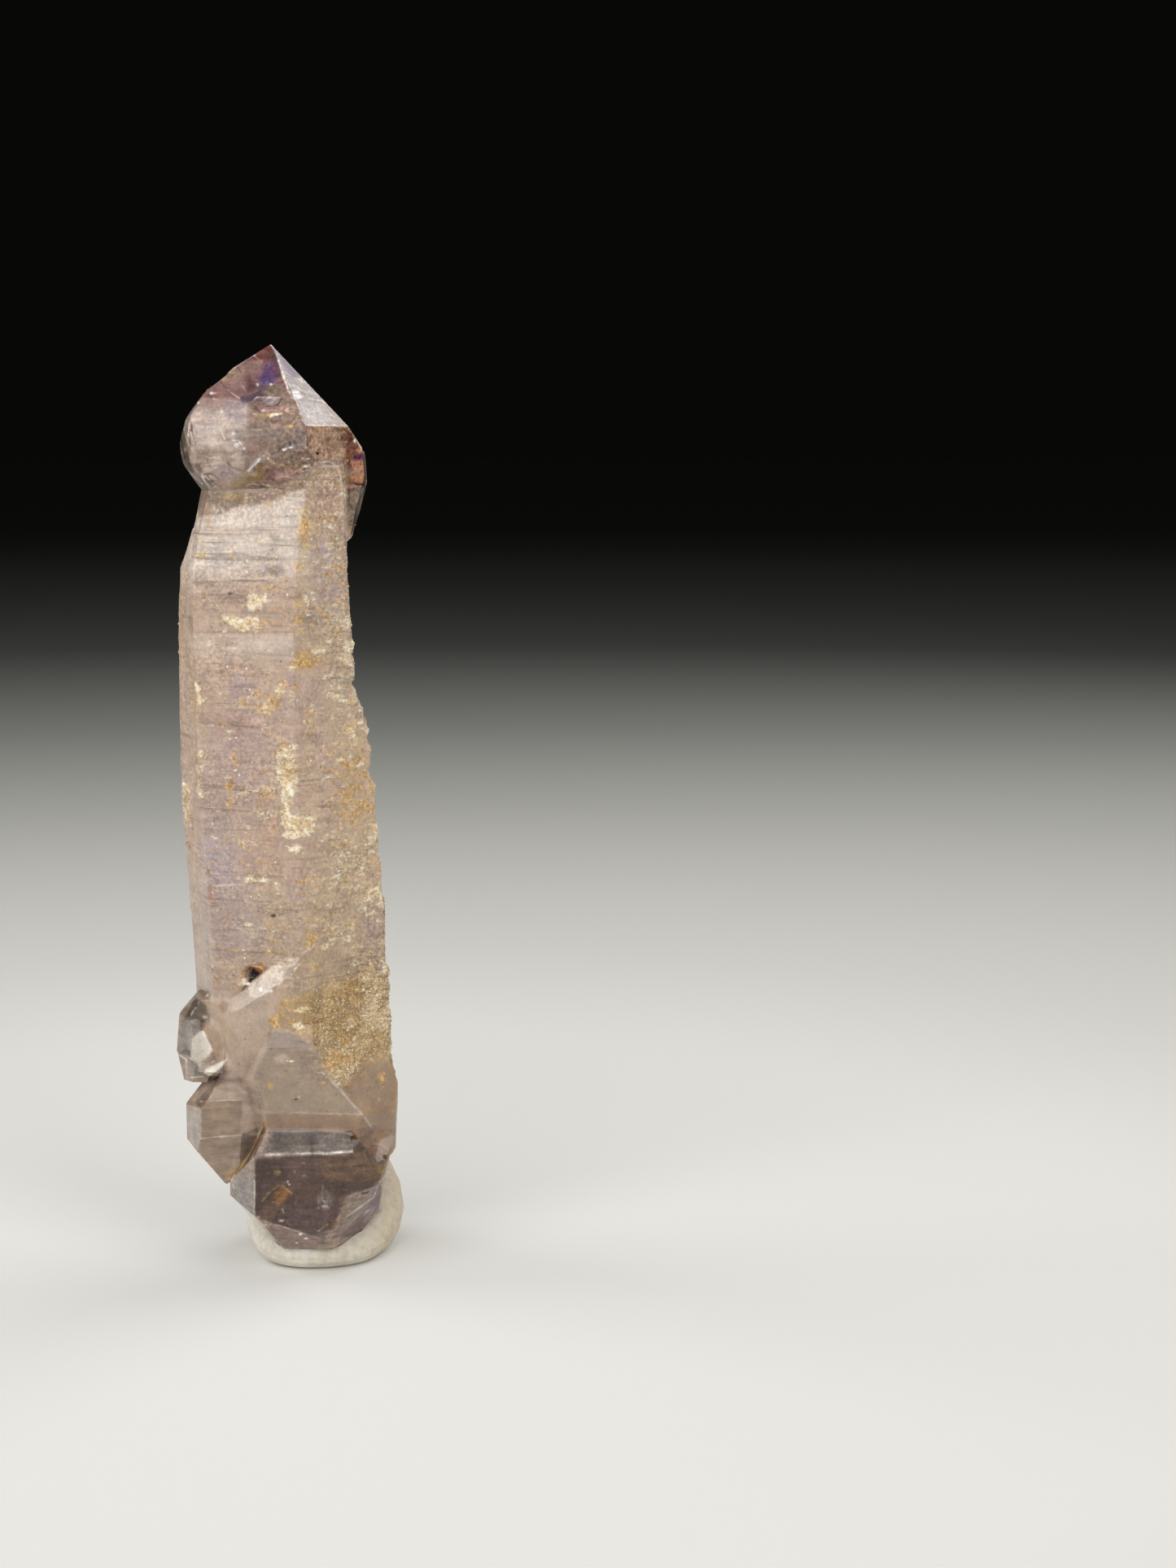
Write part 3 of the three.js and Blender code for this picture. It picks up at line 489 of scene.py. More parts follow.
STEM_MARKS = [
    # Neck: its dark band is partly painted shade, where the surface under the head turns away from the light
    area("neck_dark", 0.85, 0.21, -13.1, 101.6, -6.8, 101.1, -0.8, 100.7, 0.8, 101.7, 0.7, 100.7, -1.3,
        100.2, -2.8, 99.3, -4.9, 98.8, -6.9, 98.7, -8.3, 98.3, -9.4, 97.6, -12.4, 97.1),
    line("pale", 0.7, 0.13, -10.6, 98.5, -10.4, 97.7),
    line("pale", 0.5, 0.13, -9.8, 98.4, -9.4, 97.9),
    spot("neck_grey", 0.5, 0.26, -11.1, 100.2, 1.03, 0.51),
    spot("rust", 0.4, 0.15, -3.3, 99.3, 0.77, 0.15),
    spot("yellow", 0.4, 0.26, -8.6, 99.8, 1.03, 0.51),
    line("neck_dark", 0.6, 0.12, -11.8, 101.1, -9.8, 101.5, -7.8, 101.9),
    line("pale_line", 0.7, 0.09, -11.3, 100.7, -9.3, 101, -7.6, 101.5, -6.3, 102),
    line("cream_line", 0.6, 0.09, -10.7, 100.1, -8.6, 100.7, -6.8, 101.2, -4.6, 101.7),
    line("neck_grey", 0.7, 0.12, -12.5, 100.3, -10.7, 100.3, -8.9, 99.8),
    # Veils and specks of the neck
    area("gold_dim", 0.5, 0.21, -8.6, 100.3, -6.8, 100.7, -6.3, 99.5, -8.3, 98.9),
    area("pink_mauve", 0.5, 0.31, -6.3, 100.7, -2.3, 100.5, -1.8, 99.5, -5.9, 99.5),
    spot("cream_line", 0.8, 0.08, -6.6, 100, 0.26, 0.15),
    line("rosy", 0.5, 0.08, -6.9, 99.5, -5.3, 99.8, -3.8, 100.1),
    area("pink", 0.6, 0.31, -12.3, 98.5, -10.7, 98.5, -10.7, 97.6, -12.3, 97.6),
    spot("pale_line", 0.8, 0.07, -10.6, 98.2, 0.1, 0.15),
    spot("pale_line", 0.8, 0.07, -10.2, 98, 0.15, 0.15),
    line("brown", 0.5, 0.08, -12.1, 97.5, -10.7, 97.3, -9.3, 97.6, -8.3, 98),
    spot("brown", 0.6, 0.08, -1.4, 100.5, 0.15, 0.26),
    spot("brown", 0.5, 0.08, -1.8, 100.1, 0.21, 0.15),
    spot("brown", 0.5, 0.07, -3.1, 99.1, 0.15, 0.15),
    spot("brown", 0.5, 0.07, -2.3, 100.6, 0.21, 0.15),
    line("dim", 0.5, 0.08, -11.9, 100.5, -10.7, 100.1, -9.7, 100.4),
    spot("mauve", 0.4, 0.21, -11.7, 99.7, 0.41, 0.62),
    line("pale_line", 0.5, 0.07, -11.1, 100, -10.7, 99.6),
    spot("dim", 0.4, 0.1, -8.4, 99, 0.21, 0.15),
    # Pale zone under the neck: partly the stem's own colour, partly a painted reflection of the light on the
    # stem's front
    area("white_zone", 0.9, 0.36, -12.9, 97, -9.4, 97.5, -8.3, 98.2, -6.9, 98.6, -4.9, 98.7, -2.8, 99.3,
        -1.3, 100.1, 0.7, 100.5, 0.4, 96.2, -5.9, 96, -13.2, 96.1),
    area("lilac_grey", 0.3, 1.44, -13, 60.1, -5.4, 60.1, -5.7, 42.3, -13, 41.3),
    area("front_white", 0.7, 2.56, -13.7, 96.1, 0.4, 96.2, -0.5, 91.5, -13.8, 90.7),
    spot("yellow", 0.5, 0.36, 0.6, 96.7, 0.67, 1.79),
    spot("gold", 0.6, 0.31, 0.4, 95, 0.67, 1.54),
    spot("gold", 0.5, 0.31, -0.3, 91.2, 0.77, 0.77),
    spot("lilac_grey", 0.5, 0.62, 2.8, 92.7, 1.28, 1.54),
    area("lilac_grey", 0.3, 1.54, 1.1, 91.7, 5.6, 91.7, 5.5, 84.1, 0.9, 84.1),
    spot("pink", 0.5, 0.77, 3.2, 99, 1.54, 2.05),
    line("scratch", 0.6, 0.08, -13.2, 95.5, -8.7, 95.5, -2.9, 95.6),
    line("scratch", 0.5, 0.08, -12.7, 95.2, -10.5, 95.1),
    line("scratch", 0.5, 0.08, -7.4, 95.6, -5.2, 95.9, 0.4, 96),
    line("scratch", 0.4, 0.08, -13.1, 91.7, -8.8, 92, -2, 91.7),
    line("scratch", 0.4, 0.08, -12, 93.7, -8.7, 93.8),
    spot("smudge", 0.7, 0.21, -3, 94.5, 0.51, 0.41),
    spot("smudge", 0.5, 0.21, -3.2, 91.1, 0.31, 0.26),
    # Top of the front
    area("front_white", 0.6, 2.82, -13.8, 93.2, -0.9, 93.2, -1, 90.2, -7, 90.2, -13.9, 89.2),
    spot("smudge", 0.7, 0.21, -3.3, 90.7, 1.18, 0.41),
    spot("smudge", 0.5, 0.15, -3, 90.2, 0.62, 0.26),
    line("scratch", 0.4, 0.08, -12.9, 89.2, -7.1, 89.3, -1, 88.9),
    line("scratch", 0.5, 0.08, -13.2, 85.8, -9.7, 85.7),
    line("scratch", 0.45, 0.08, -13.3, 82.9, -7.2, 82.9, -1.1, 83),
    line("scratch", 0.4, 0.08, -13.1, 80.6, -9, 80.4),
    line("scratch", 0.4, 0.08, -12.9, 79.1, -9.1, 78.9),
    area("white_zone", 0.35, 0.77, -13.2, 82.3, -1.1, 82.5, -1.1, 81.1, -13.2, 81),
    area("white_zone", 0.4, 1.28, -13.2, 81.6, -1.1, 81.9, -1.2, 79.8, -13.2, 79.6),
    spot("dark", 0.8, 0.08, -8.9, 87.7, 0.26, 0.18),
    spot("dark", 0.5, 0.08, -8.4, 87.8, 0.26, 0.1),
    spot("dark", 0.6, 0.08, -10.7, 81.4, 0.21, 0.13),
    spot("smudge", 0.4, 0.51, 1.4, 84.6, 1.18, 1.03),
    area("brown_gold", 0.5, 0.51, -1.2, 80.8, 2.1, 80.8, 2.4, 78.8, -0.9, 78.6),
    spot("lilac_grey", 0.4, 0.51, -7.8, 76.3, 1.54, 1.54),
    spot("pink", 0.4, 0.77, -9.2, 71.4, 3.08, 1.54),
    spot("beige", 0.4, 0.77, 4, 72.7, 2.56, 3.08),
    # Middle
    area("pink", 0.5, 0.77, -8.2, 59.3, -3.3, 59.3, -3.7, 52.8, -7.8, 52.3),
    spot("pink", 0.4, 0.77, -5.3, 61.9, 1.54, 0.77),
    area("lilac_grey", 0.4, 0.62, -13.1, 57, -9, 57, -9.1, 51.2, -12.7, 51.2),
    spot("lilac_grey", 0.3, 0.62, -1.2, 49.7, 1.28, 1.03),
    line("white", 0.7, 0.1, -11.8, 50.9, -8.1, 51.1),
    line("white", 0.4, 0.08, -8.5, 45.3, -4.9, 45.3),
    line("pale", 0.6, 0.1, 5.7, 48.6, 6, 49.7),
    spot("dark", 0.95, 0.08, -4.2, 47, 0.33, 0.23),
    spot("dark", 0.6, 0.08, -1.3, 47.6, 0.21, 0.13),
    spot("smudge", 0.6, 0.15, 2.5, 43.7, 0.46, 0.26),
    line("dark", 0.5, 0.08, -12.5, 53.3, -12, 51.5),
    line("red_orange", 0.9, 0.15, -12, 51.2, -12.1, 48.6),
    spot("grey_green", 0.4, 0.21, -12.3, 57.6, 0.46, 0.36),
    line("white", 0.8, 0.1, -0.6, 42.2, 0.2, 42.6, 0.8, 43.2),
    area("rust", 0.7, 0.12, -7.8, 40.5, -6.2, 41, -5, 40.3, -5.8, 39.5, -6.8, 40.2, -7.7, 39.9),
    area("seam_dark", 0.8, 0.08, -7.6, 39.8, -6.8, 40.4, -5.8, 40, -6, 39.3, -7.1, 38.2, -7.7, 38.5),
    # Painted shade in the pit's hollow, and in a smaller hole below it
    area("hole_dark", 1, 0.06, -7.2, 39.9, -6.9, 40.2, -6.5, 39.9, -6, 39.8, -6.2, 39.4, -6.6, 38.8, -7.2,
        38.3, -7.5, 38.5, -7.4, 39.3),
    area("red_orange", 0.5, 0.08, -6.4, 40.5, -5.5, 40.4, -5.7, 39.6, -6.2, 39.9),
    spot("rust", 0.6, 0.1, -8.3, 39.3, 0.31, 0.31),
    spot("white", 0.8, 0.08, -8.1, 38.7, 0.26, 0.31),
    spot("white", 1, 0.08, -7.6, 38.2, 0.31, 0.21),
    area("hole_dark", 0.8, 0.06, -8, 38.1, -7.6, 37.9, -8.4, 37.2, -8.6, 37.3),
    line("brown_gold", 0.8, 0.18, -9.4, 36.6, -8.5, 37.5),
    # Ledge, slab, druse and the lower right
    area("ledge_white", 1, 0.1, -7.2, 38.4, -6, 39.3, -5, 40.1, -3.4, 41.2, -2.4, 41.4, -1, 41.6, -1.4,
        40.8, -2.7, 40.1, -3, 39.2, -3.4, 38.2, -4.5, 37.8, -5.2, 36.8, -6.6, 36.3, -7.3, 36.6, -7.7, 37.5),
    spot("glint", 1, 0.08, -6, 37.5, 0.21, 0.25),
    spot("glint", 0.8, 0.08, -4.7, 37.3, 0.25, 0.21),
    line("pale_line", 0.9, 0.09, -1.7, 40.1, -0.9, 40.8),
    area("slab", 0.6, 0.51, -12, 36, -7.6, 36.3, -4, 37, -4.5, 32, -5.7, 29.1, -9.6, 28.8, -11.6, 29.9),
    spot("speck_zone", 0.4, 0.21, -10.3, 29.7, 0.77, 0.46),
    area("brown_gold", 0.6, 0.51, -4, 35.7, -1.9, 37, -0.4, 37.3, 10.3, 39.7, 10.3, 29.1, 6.2, 26.9, 3.6,
        25.3, 1.6, 29.1, -2.5, 32, -4.6, 32.3),
    area("slab", 0.6, 0.41, -3.2, 39.4, 1.2, 40.2, 1.2, 37.6, -2.5, 36),
    area("shield", 1, 0.13, -7.4, 26.3, -5.5, 29.6, -0.5, 29.9, 1.1, 29, 2.6, 25.9, 5.6, 22.4, 6.8, 21.1,
        -5.8, 21.4),
    area("shield_band", 0.9, 0.13, -5.5, 29.6, -5.1, 31.8, -2.5, 32, 0.7, 30, -0.5, 29.9),
    area("pink_low", 0.8, 0.13, -5.8, 21.4, 6.8, 21.1, 8.8, 17.8, -5.4, 18.6),
    area("pink_low", 0.8, 0.92, 3.6, 25, 6.2, 26.9, 10.9, 28.3, 11.4, 20.5, 10, 17.8, 8.7, 17.8, 6.8, 21.1,
        5.6, 22.4),
    line("pale_line", 0.6, 0.1, 2.6, 25.8, 5.6, 22.3, 6.8, 21, 8.7, 17.9),
    line("pale_line", 0.4, 0.1, -5.8, 21.4, 6.7, 21.1),
    line("pale_line", 0.5, 0.1, -7.3, 26.3, -5.5, 29.5),
    area("slab_low", 0.6, 0.26, -10.1, 28.3, -7.3, 28.8, -5.4, 29.3, -7.3, 26.3, -5.8, 21.4, -6.4, 20, -8.4,
        23.2),
    spot("dark", 0.5, 0.05, -4.7, 28.9, 0.09, 0.07),
    spot("dark", 0.5, 0.05, -2.9, 27.5, 0.08, 0.07),
    spot("dark", 0.4, 0.05, -4.1, 25.9, 0.08, 0.07),
    spot("dark", 0.5, 0.05, -1.6, 25.3, 0.09, 0.07),
    spot("dark", 0.5, 0.05, -0.4, 23.7, 0.08, 0.07),
    spot("dark", 0.4, 0.05, 1, 23, 0.08, 0.07),
    spot("dark", 0.5, 0.05, 2.2, 21.5, 0.09, 0.07),
    spot("dark", 0.4, 0.05, -3.2, 23.2, 0.08, 0.07),
    spot("dark", 0.4, 0.05, -5.3, 24.3, 0.08, 0.07),
    spot("pale", 0.4, 0.21, -3.6, 28.5, 0.82, 0.51),
    spot("shield_band", 0.5, 0.31, -1.1, 23.2, 1.23, 0.82),
    spot("gold", 0.8, 0.08, -5, 24.8, 0.41, 0.41),
    spot("dark", 0.9, 0.08, -1.8, 23.1, 0.28, 0.18),
    spot("gold", 0.8, 0.08, -1.4, 23.4, 0.26, 0.21),
    spot("dark", 0.6, 0.08, -4.8, 29.7, 0.21, 0.13),
    spot("dark", 0.5, 0.08, -0.8, 30.6, 0.26, 0.13),
    spot("dark", 0.5, 0.08, -7.9, 21.2, 0.18, 0.13),
    # Little crystals and the smoky one
    area("slab", 1, 0.13, -12.5, 36.3, -10, 36.3, -10.1, 28.6, -12.2, 29.3, -12.6, 32.5),
    spot("rust", 0.4, 0.21, -10.8, 35.2, 0.51, 0.77),
    area("smoke_dark", 0.9, 0.13, -14.3, 36.5, -12.9, 35.2, -12.5, 34.1, -13.7, 31.7, -16, 33.5),
    area("clear_grey", 1, 0.13, -16.2, 33.5, -13.8, 33.4, -13.9, 31.5, -15, 30.1, -15.3, 28.5, -16.8, 28.9),
    area("pale_brown", 0.6, 0.13, -13.6, 33.9, -12.5, 34.4, -12.7, 32.8, -13.5, 32.1),
    spot("dark", 0.7, 0.1, -13.5, 33.4, 0.26, 0.21),
    spot("white", 0.7, 0.1, -13.2, 33.9, 0.21, 0.15),
    area("little_bright", 1, 0.13, -15, 31.2, -13.5, 32.1, -12.3, 29.4, -14, 27.5, -15.1, 28.5),
    area("little_white", 1, 0.1, -13.1, 27.2, -10.3, 28.5, -11.1, 27.4, -12.7, 26.1, -13.6, 26.6),
    area("clear_grey", 0.8, 0.13, -15.7, 28.3, -14, 27.3, -13.2, 26.1, -15.7, 25.8),
    area("pale_brown", 0.7, 0.13, -13.9, 27.5, -12.3, 29.3, -11.9, 28, -13.2, 27.2),
    # Painted shade in the gap under the little crystal
    area("hole_dark", 0.9, 0.08, -12.4, 25.7, -11.9, 26.1, -10.9, 27.3, -11.4, 26.3, -12, 25.3),
    line("white", 0.8, 0.1, -13.5, 32, -12.3, 29.4),
    line("white", 0.7, 0.1, -15.1, 28.5, -14, 27.4),
    line("white", 0.7, 0.08, -16.5, 28.9, -15.7, 28.3, -15.7, 25.9, -13.5, 26.1),
    area("smoke_dark", 0.7, 0.15, -12.3, 25.1, -10.9, 27.2, -10.4, 26.7, -12, 24.3, -13.9, 21.8, -15, 22.5),
    area("smoky_top", 0.9, 0.13, -12, 24.7, -8.6, 24.4, -8.7, 23, -13, 22.9),
    area("smoky", 1, 0.13, -14, 22.8, -8.7, 23.1, -8.9, 17.8, -14, 17.8),
    area("smoky_left", 1, 0.1, -16, 20.9, -14.9, 22.1, -14, 21.9, -14, 17.8, -15.6, 18.1),
    area("smoky_top", 0.8, 0.13, -8.6, 23, -6.4, 20.8, -6.1, 19.4, -8.5, 18.1),
    line("pale_line", 0.6, 0.08, -14, 22.8, -8.7, 23),
    line("scratch", 0.7, 0.08, -8.7, 23, -8.8, 20.8),
    line("pale_line", 0.6, 0.08, -13, 23, -12.1, 24.6),
]

FOOT_MARKS = [
    area("smoky_low", 1, 0.13, -14.1, 18, -8.9, 18.4, -9.8, 15.5, -11.2, 12.1, -14.4, 15.9),
    area("smoky_left", 1, 0.1, -16, 21.1, -14, 21.1, -14.1, 17.8, -14.4, 15.9, -15.5, 17),
    spot("pale_brown", 0.6, 0.26, -11.7, 14.6, 1.28, 1.03),
    spot("gold", 0.5, 0.21, -10.6, 13.2, 0.46, 0.62),
    line("pale_line", 0.7, 0.08, -14.1, 17.9, -8.9, 18.4),
    line("pale_line", 0.6, 0.08, -14.4, 15.9, -11.2, 12.1),
    area("cool_grey", 0.8, 0.15, -8.8, 18.6, -6.3, 19.3, -7.5, 17, -8.8, 14.8, -9.3, 15.6),
    spot("pale", 0.6, 0.13, -7.2, 18.5, 0.62, 0.26),
    line("seam_gold", 1, 0.21, -5.9, 20.1, -6.1, 18.9, -7.3, 16.6, -8.5, 14.6, -10.2, 13),
    line("seam_dark", 0.8, 0.1, -5.9, 19.4, -6.7, 17.6, -8, 15.1, -8.8, 14),
    line("cream_line", 0.7, 0.08, -6.2, 19.4, -7.5, 16.5, -9.1, 14),
    area("bevel", 1, 0.13, -4.7, 19.2, 4.7, 18.8, 5.5, 15.9, -6.6, 15.5),
    area("bevel_dark", 0.7, 0.36, -4.8, 18.8, -2.2, 18.5, -2, 16.8, -4.9, 16.2),
    spot("bevel_dark", 0.6, 0.31, -0.4, 17.6, 1.03, 0.67),
    area("bevel_light", 0.7, 0.31, 0.9, 18.5, 4.5, 18.4, 5.2, 16.3, 0.9, 16.2),
    # Painted highlight along the bevel's lower edge
    line("white", 0.9, 0.18, -6.6, 15.7, -2.3, 15.9, 2.4, 15.9, 5.5, 16.2),
    line("bevel_dark", 0.8, 0.1, 0.1, 18.8, 0.2, 15.7),
    # Front of the foot
    area("foot_front", 1, 0.15, -7.2, 15.2, 8.5, 16.3, 8.7, 11.8, 4.5, 10.2, 2.6, 5.8, -0.8, 4.9, -4.5, 6.4,
        -7.4, 7.7),
    area("foot_mauve", 0.6, 0.82, -6.9, 15.7, 1.9, 15.7, -0.3, 12.2, -5.5, 11.6, -7, 10.3),
    area("foot_mauve", 0.6, 0.82, -3.4, 9.4, 2.9, 10.3, 3, 7, -0.4, 5.3, -4, 6.8),
    area("foot_mauve", 0.5, 0.51, -6.8, 8.5, -4, 7, -4.5, 6.5, -6.8, 7),
    area("foot_dark", 0.7, 0.31, -7.1, 15.1, -3.1, 15.2, -3.2, 12.4, -5.1, 11.8, -7, 12.2),
    area("foot_band", 0.5, 0.15, 0.3, 14.6, 8.4, 15, 8.5, 14.4, 0.4, 14.1),
    area("foot_warm", 0.7, 0.41, 0.8, 15.2, 8.4, 15.7, 8.5, 12.2, 6, 11.8, 1.8, 12.6),
    area("foot_dark", 0.5, 0.31, 1.6, 12.2, 5.2, 12.2, 5, 10.5, 2, 10.7),
    line("foot_band", 0.4, 0.08, -6.7, 14.1, -2.3, 14.2, 2.4, 14.1),
    line("foot_band", 0.4, 0.08, -6, 13.3, -0.8, 13.4, 4.5, 13.1),
    line("foot_dark", 0.6, 0.1, -6.7, 12.6, -1.3, 12.5, 3.4, 12.6),
    line("foot_dark", 0.5, 0.08, 1.9, 13.5, 5, 13.7, 8.1, 13.9),
    line("reddish", 0.3, 0.1, -6.5, 14.5, -0.7, 14.6, 8.2, 14.7),
    line("foot_band", 0.4, 0.08, 5, 13.1, 8.3, 13.5),
    area("foot_dark", 0.6, 0.31, -7.4, 12.4, -6.3, 12.4, -6.4, 8.1, -7.5, 8.1),
    area("foot_warm", 0.5, 0.31, -6.2, 9, -4.5, 9, -4.5, 7.2, -6.4, 7.2),
    spot("gold_dim", 0.85, 0.08, -4.3, 13.4, 0.46, 0.36),
    spot("feather", 0.8, 0.06, -1, 14.7, 0.21, 0.12),
    spot("pale", 0.4, 0.06, -2.1, 13.5, 0.12, 0.12),
    spot("feather", 0.7, 0.06, -0.9, 13, 0.21, 0.12),
    line("white", 0.7, 0.06, -3.1, 12.3, -2.8, 11.8),
    spot("pale", 0.4, 0.06, -2.3, 11.5, 0.1, 0.1),
    # The bent crack with iron in it
    area("foot_gold", 0.7, 0.21, -4.9, 11.3, -3.8, 11.8, -2.7, 10.7, -3.4, 9.8, -4.1, 9, -4.7, 9.2),
    area("dark", 0.8, 0.15, -4.2, 11.5, -3.8, 11.1, -5.1, 10.3, -6.4, 9, -6.6, 9.3, -5.3, 10.7),
    line("gold_dim", 0.9, 0.09, -4.2, 11.7, -5.3, 10.9, -6.4, 9.5),
    line("gold", 0.9, 0.09, -3.8, 11.7, -3.2, 11.2, -2.5, 10.6),
    line("foot_gold", 1, 0.21, -4.4, 9.2, -3.6, 10.4),
    line("dark", 0.8, 0.08, -4.9, 9.6, -4.3, 10.2, -3.5, 11),
    line("pale", 0.5, 0.08, -5.7, 9.6, -4.8, 9.5),
    spot("mauve_dark", 0.6, 0.21, -2.8, 9.8, 0.41, 0.51),
    line("gold_dim", 0.6, 0.08, -2.2, 9.2, -1.8, 9.9),
    line("dark", 0.8, 0.08, -4.7, 7, -4.2, 8.4, -3.8, 9),
    line("pale_line", 0.7, 0.08, -3.8, 8.7, -3.6, 8),
    line("dark", 0.6, 0.08, -4.9, 6.9, -4.1, 7.3, -3.2, 7.2),
    spot("pale_line", 0.9, 0.1, -3.9, 7, 0.41, 0.21),
    line("feather", 0.6, 0.1, -3.3, 6.9, -2.5, 6.2),
    spot("pale", 0.5, 0.08, -7, 7.4, 0.15, 0.12),
    line("pale", 0.4, 0.07, -6.7, 6.1, -6, 6.6),
    # The feather and the darker spots
    spot("feather", 0.35, 0.31, 1.8, 9.8, 1.13, 1.33),
    line("feather", 0.95, 0.1, 1.5, 11.6, 1.3, 10.5, 1.4, 9.7),
    line("feather", 0.8, 0.09, 2.3, 10.7, 2, 9.6),
    line("pale_line", 0.6, 0.08, 1.6, 9.6, 2.2, 8.7),
    spot("feather", 0.9, 0.09, 0.9, 9.6, 0.14, 0.31),
    spot("pale_line", 0.7, 0.08, 1.7, 8.9, 0.31, 0.16),
    spot("pale_line", 0.6, 0.07, 0.9, 8.7, 0.13, 0.13),
    spot("foot_dark", 0.8, 0.21, 4, 11.3, 0.51, 0.72),
    spot("foot_dark", 0.7, 0.12, 5.6, 11.2, 0.41, 0.31),
    area("foot_band", 0.6, 0.26, 3.5, 10, 6, 10.3, 4.9, 8.3, 3.7, 7.2),
    area("foot_gold", 0.3, 0.21, 1.8, 7, 4.3, 7.4, 4.9, 7, 3, 5.7, 1.5, 5.9),
    area("gold_dim", 0.6, 0.15, 3.9, 7.9, 5.1, 8.1, 4.7, 7.1, 3.4, 6.6),
    spot("dark", 0.9, 0.06, 2.3, 6.8, 0.31, 0.15),
    spot("dark", 0.7, 0.06, 1, 7.1, 0.18, 0.1),
    line("rosy", 0.9, 0.1, 0.8, 5.6, 1.4, 6),
    line("pale", 0.5, 0.07, 1.3, 6.1, 2, 6.5),
    line("foot_dark", 0.9, 0.14, 6.6, 10.6, 7.9, 10.9),
    area("foot_dark", 0.7, 0.15, -0.4, 5.5, 2.1, 5.5, 1.5, 4, -0.2, 4.4),
    # Side and lower facets
    area("foot_left", 1, 0.1, -10.3, 10.8, -10.1, 12.4, -8.6, 13.6, -7.3, 12.5, -7.2, 10.3, -7.5, 7.4, -9.2,
        8.5),
    line("white", 0.6, 0.08, -7.3, 12.4, -7.4, 7.5),
    line("white", 0.8, 0.08, -10.3, 12.3, -9.8, 13.2),
    line("white", 0.6, 0.07, -10.1, 11.8, -9.9, 11),
    line("pale", 0.8, 0.12, -9.1, 8.5, -7.4, 7.2, -4.8, 3.7),
    area("low_front", 1, 0.12, -6.2, 6.2, -4.4, 6.5, -0.8, 5.3, 1.6, 4.5, 0.8, 3.8, -4.5, 3.4),
    line("pale_line", 0.5, 0.08, -6.1, 6.4, -4.3, 6.4, -0.9, 5.2),
    spot("glint", 1, 0.06, -1.5, 5.2, 0.21, 0.12),
    spot("glint", 1, 0.06, -0.8, 4.6, 0.29, 0.1),
    spot("glint", 0.9, 0.06, -2, 4, 0.15, 0.12),
    area("low_right", 1, 0.12, 2.5, 4.7, 4.5, 5.9, 8.6, 11.8, 9.6, 11.1, 9.2, 9.4, 5.9, 4.9),
    area("diagonal", 1, 0.12, 8.6, 11.8, 8.2, 10.3, 6.6, 8.1, 3.5, 5, 3, 5.6, 4.4, 7.7, 4.9, 9.4, 7.1,
        10.5),
    line("pale_line", 0.7, 0.08, 8.6, 11.7, 8.1, 10.2, 4.5, 7.5),
    area("lilac_grey", 0.5, 0.15, 6.8, 8.3, 8.1, 8.7, 7.6, 7.4, 6.6, 6.6),
    line("pale_line", 0.6, 0.08, 6.7, 7.8, 7.3, 8.5),
    area("pink_low", 1, 0.21, 5, 19.3, 10.9, 19.3, 10.9, 18.6, 9.2, 17.9, 8.4, 17, 7.1, 16.6, 6.1, 17.7),
    area("foot_warm", 1, 0.15, 5.5, 16, 7, 16.5, 7.6, 17, 8.4, 15.8, 8.6, 14.8, 9.5, 15.1, 10.3, 17, 10.5,
        16.5, 9.2, 13.5, 8.7, 11.8, 6, 13.5),
    area("corner_dark", 1, 0.07, 4.8, 18.8, 5.3, 18.8, 7.1, 16.6, 6.7, 16.3, 5.5, 16),
    area("dark", 0.6, 0.12, 6.1, 16.9, 7.1, 16.6, 6.6, 16.3, 5.5, 16.1),
    line("rust", 0.5, 0.1, 5.5, 18.6, 6.9, 16.9),
    area("corner_rust", 0.9, 0.08, 7.3, 16.6, 7.9, 17, 8.7, 17, 8.3, 15.9, 7.6, 15.8),
    line("dark", 0.7, 0.07, 7.9, 17, 8.7, 16.9),
    line("dark", 0.7, 0.09, 7.1, 16.3, 7.4, 15.5, 7.8, 14.7),
    area("corner_pale", 1, 0.08, 8.2, 15.6, 9, 17, 9, 17.7, 10.9, 18.5, 10.6, 17.3, 9.7, 16.3, 9.2, 15.2,
        8.6, 14.8),
    spot("dark", 1, 0.08, 9.5, 15.5, 0.27, 0.31),
    line("dark", 0.9, 0.11, 8.8, 14.6, 9.3, 15),
    spot("gold_dim", 0.6, 0.21, 9, 13.8, 0.51, 0.72),
    line("feather", 0.5, 0.08, 5.4, 13.3, 6.9, 13.8, 8.4, 13.9),
    line("foot_dark", 0.8, 0.1, 5.4, 14.2, 6.9, 14.4),
]

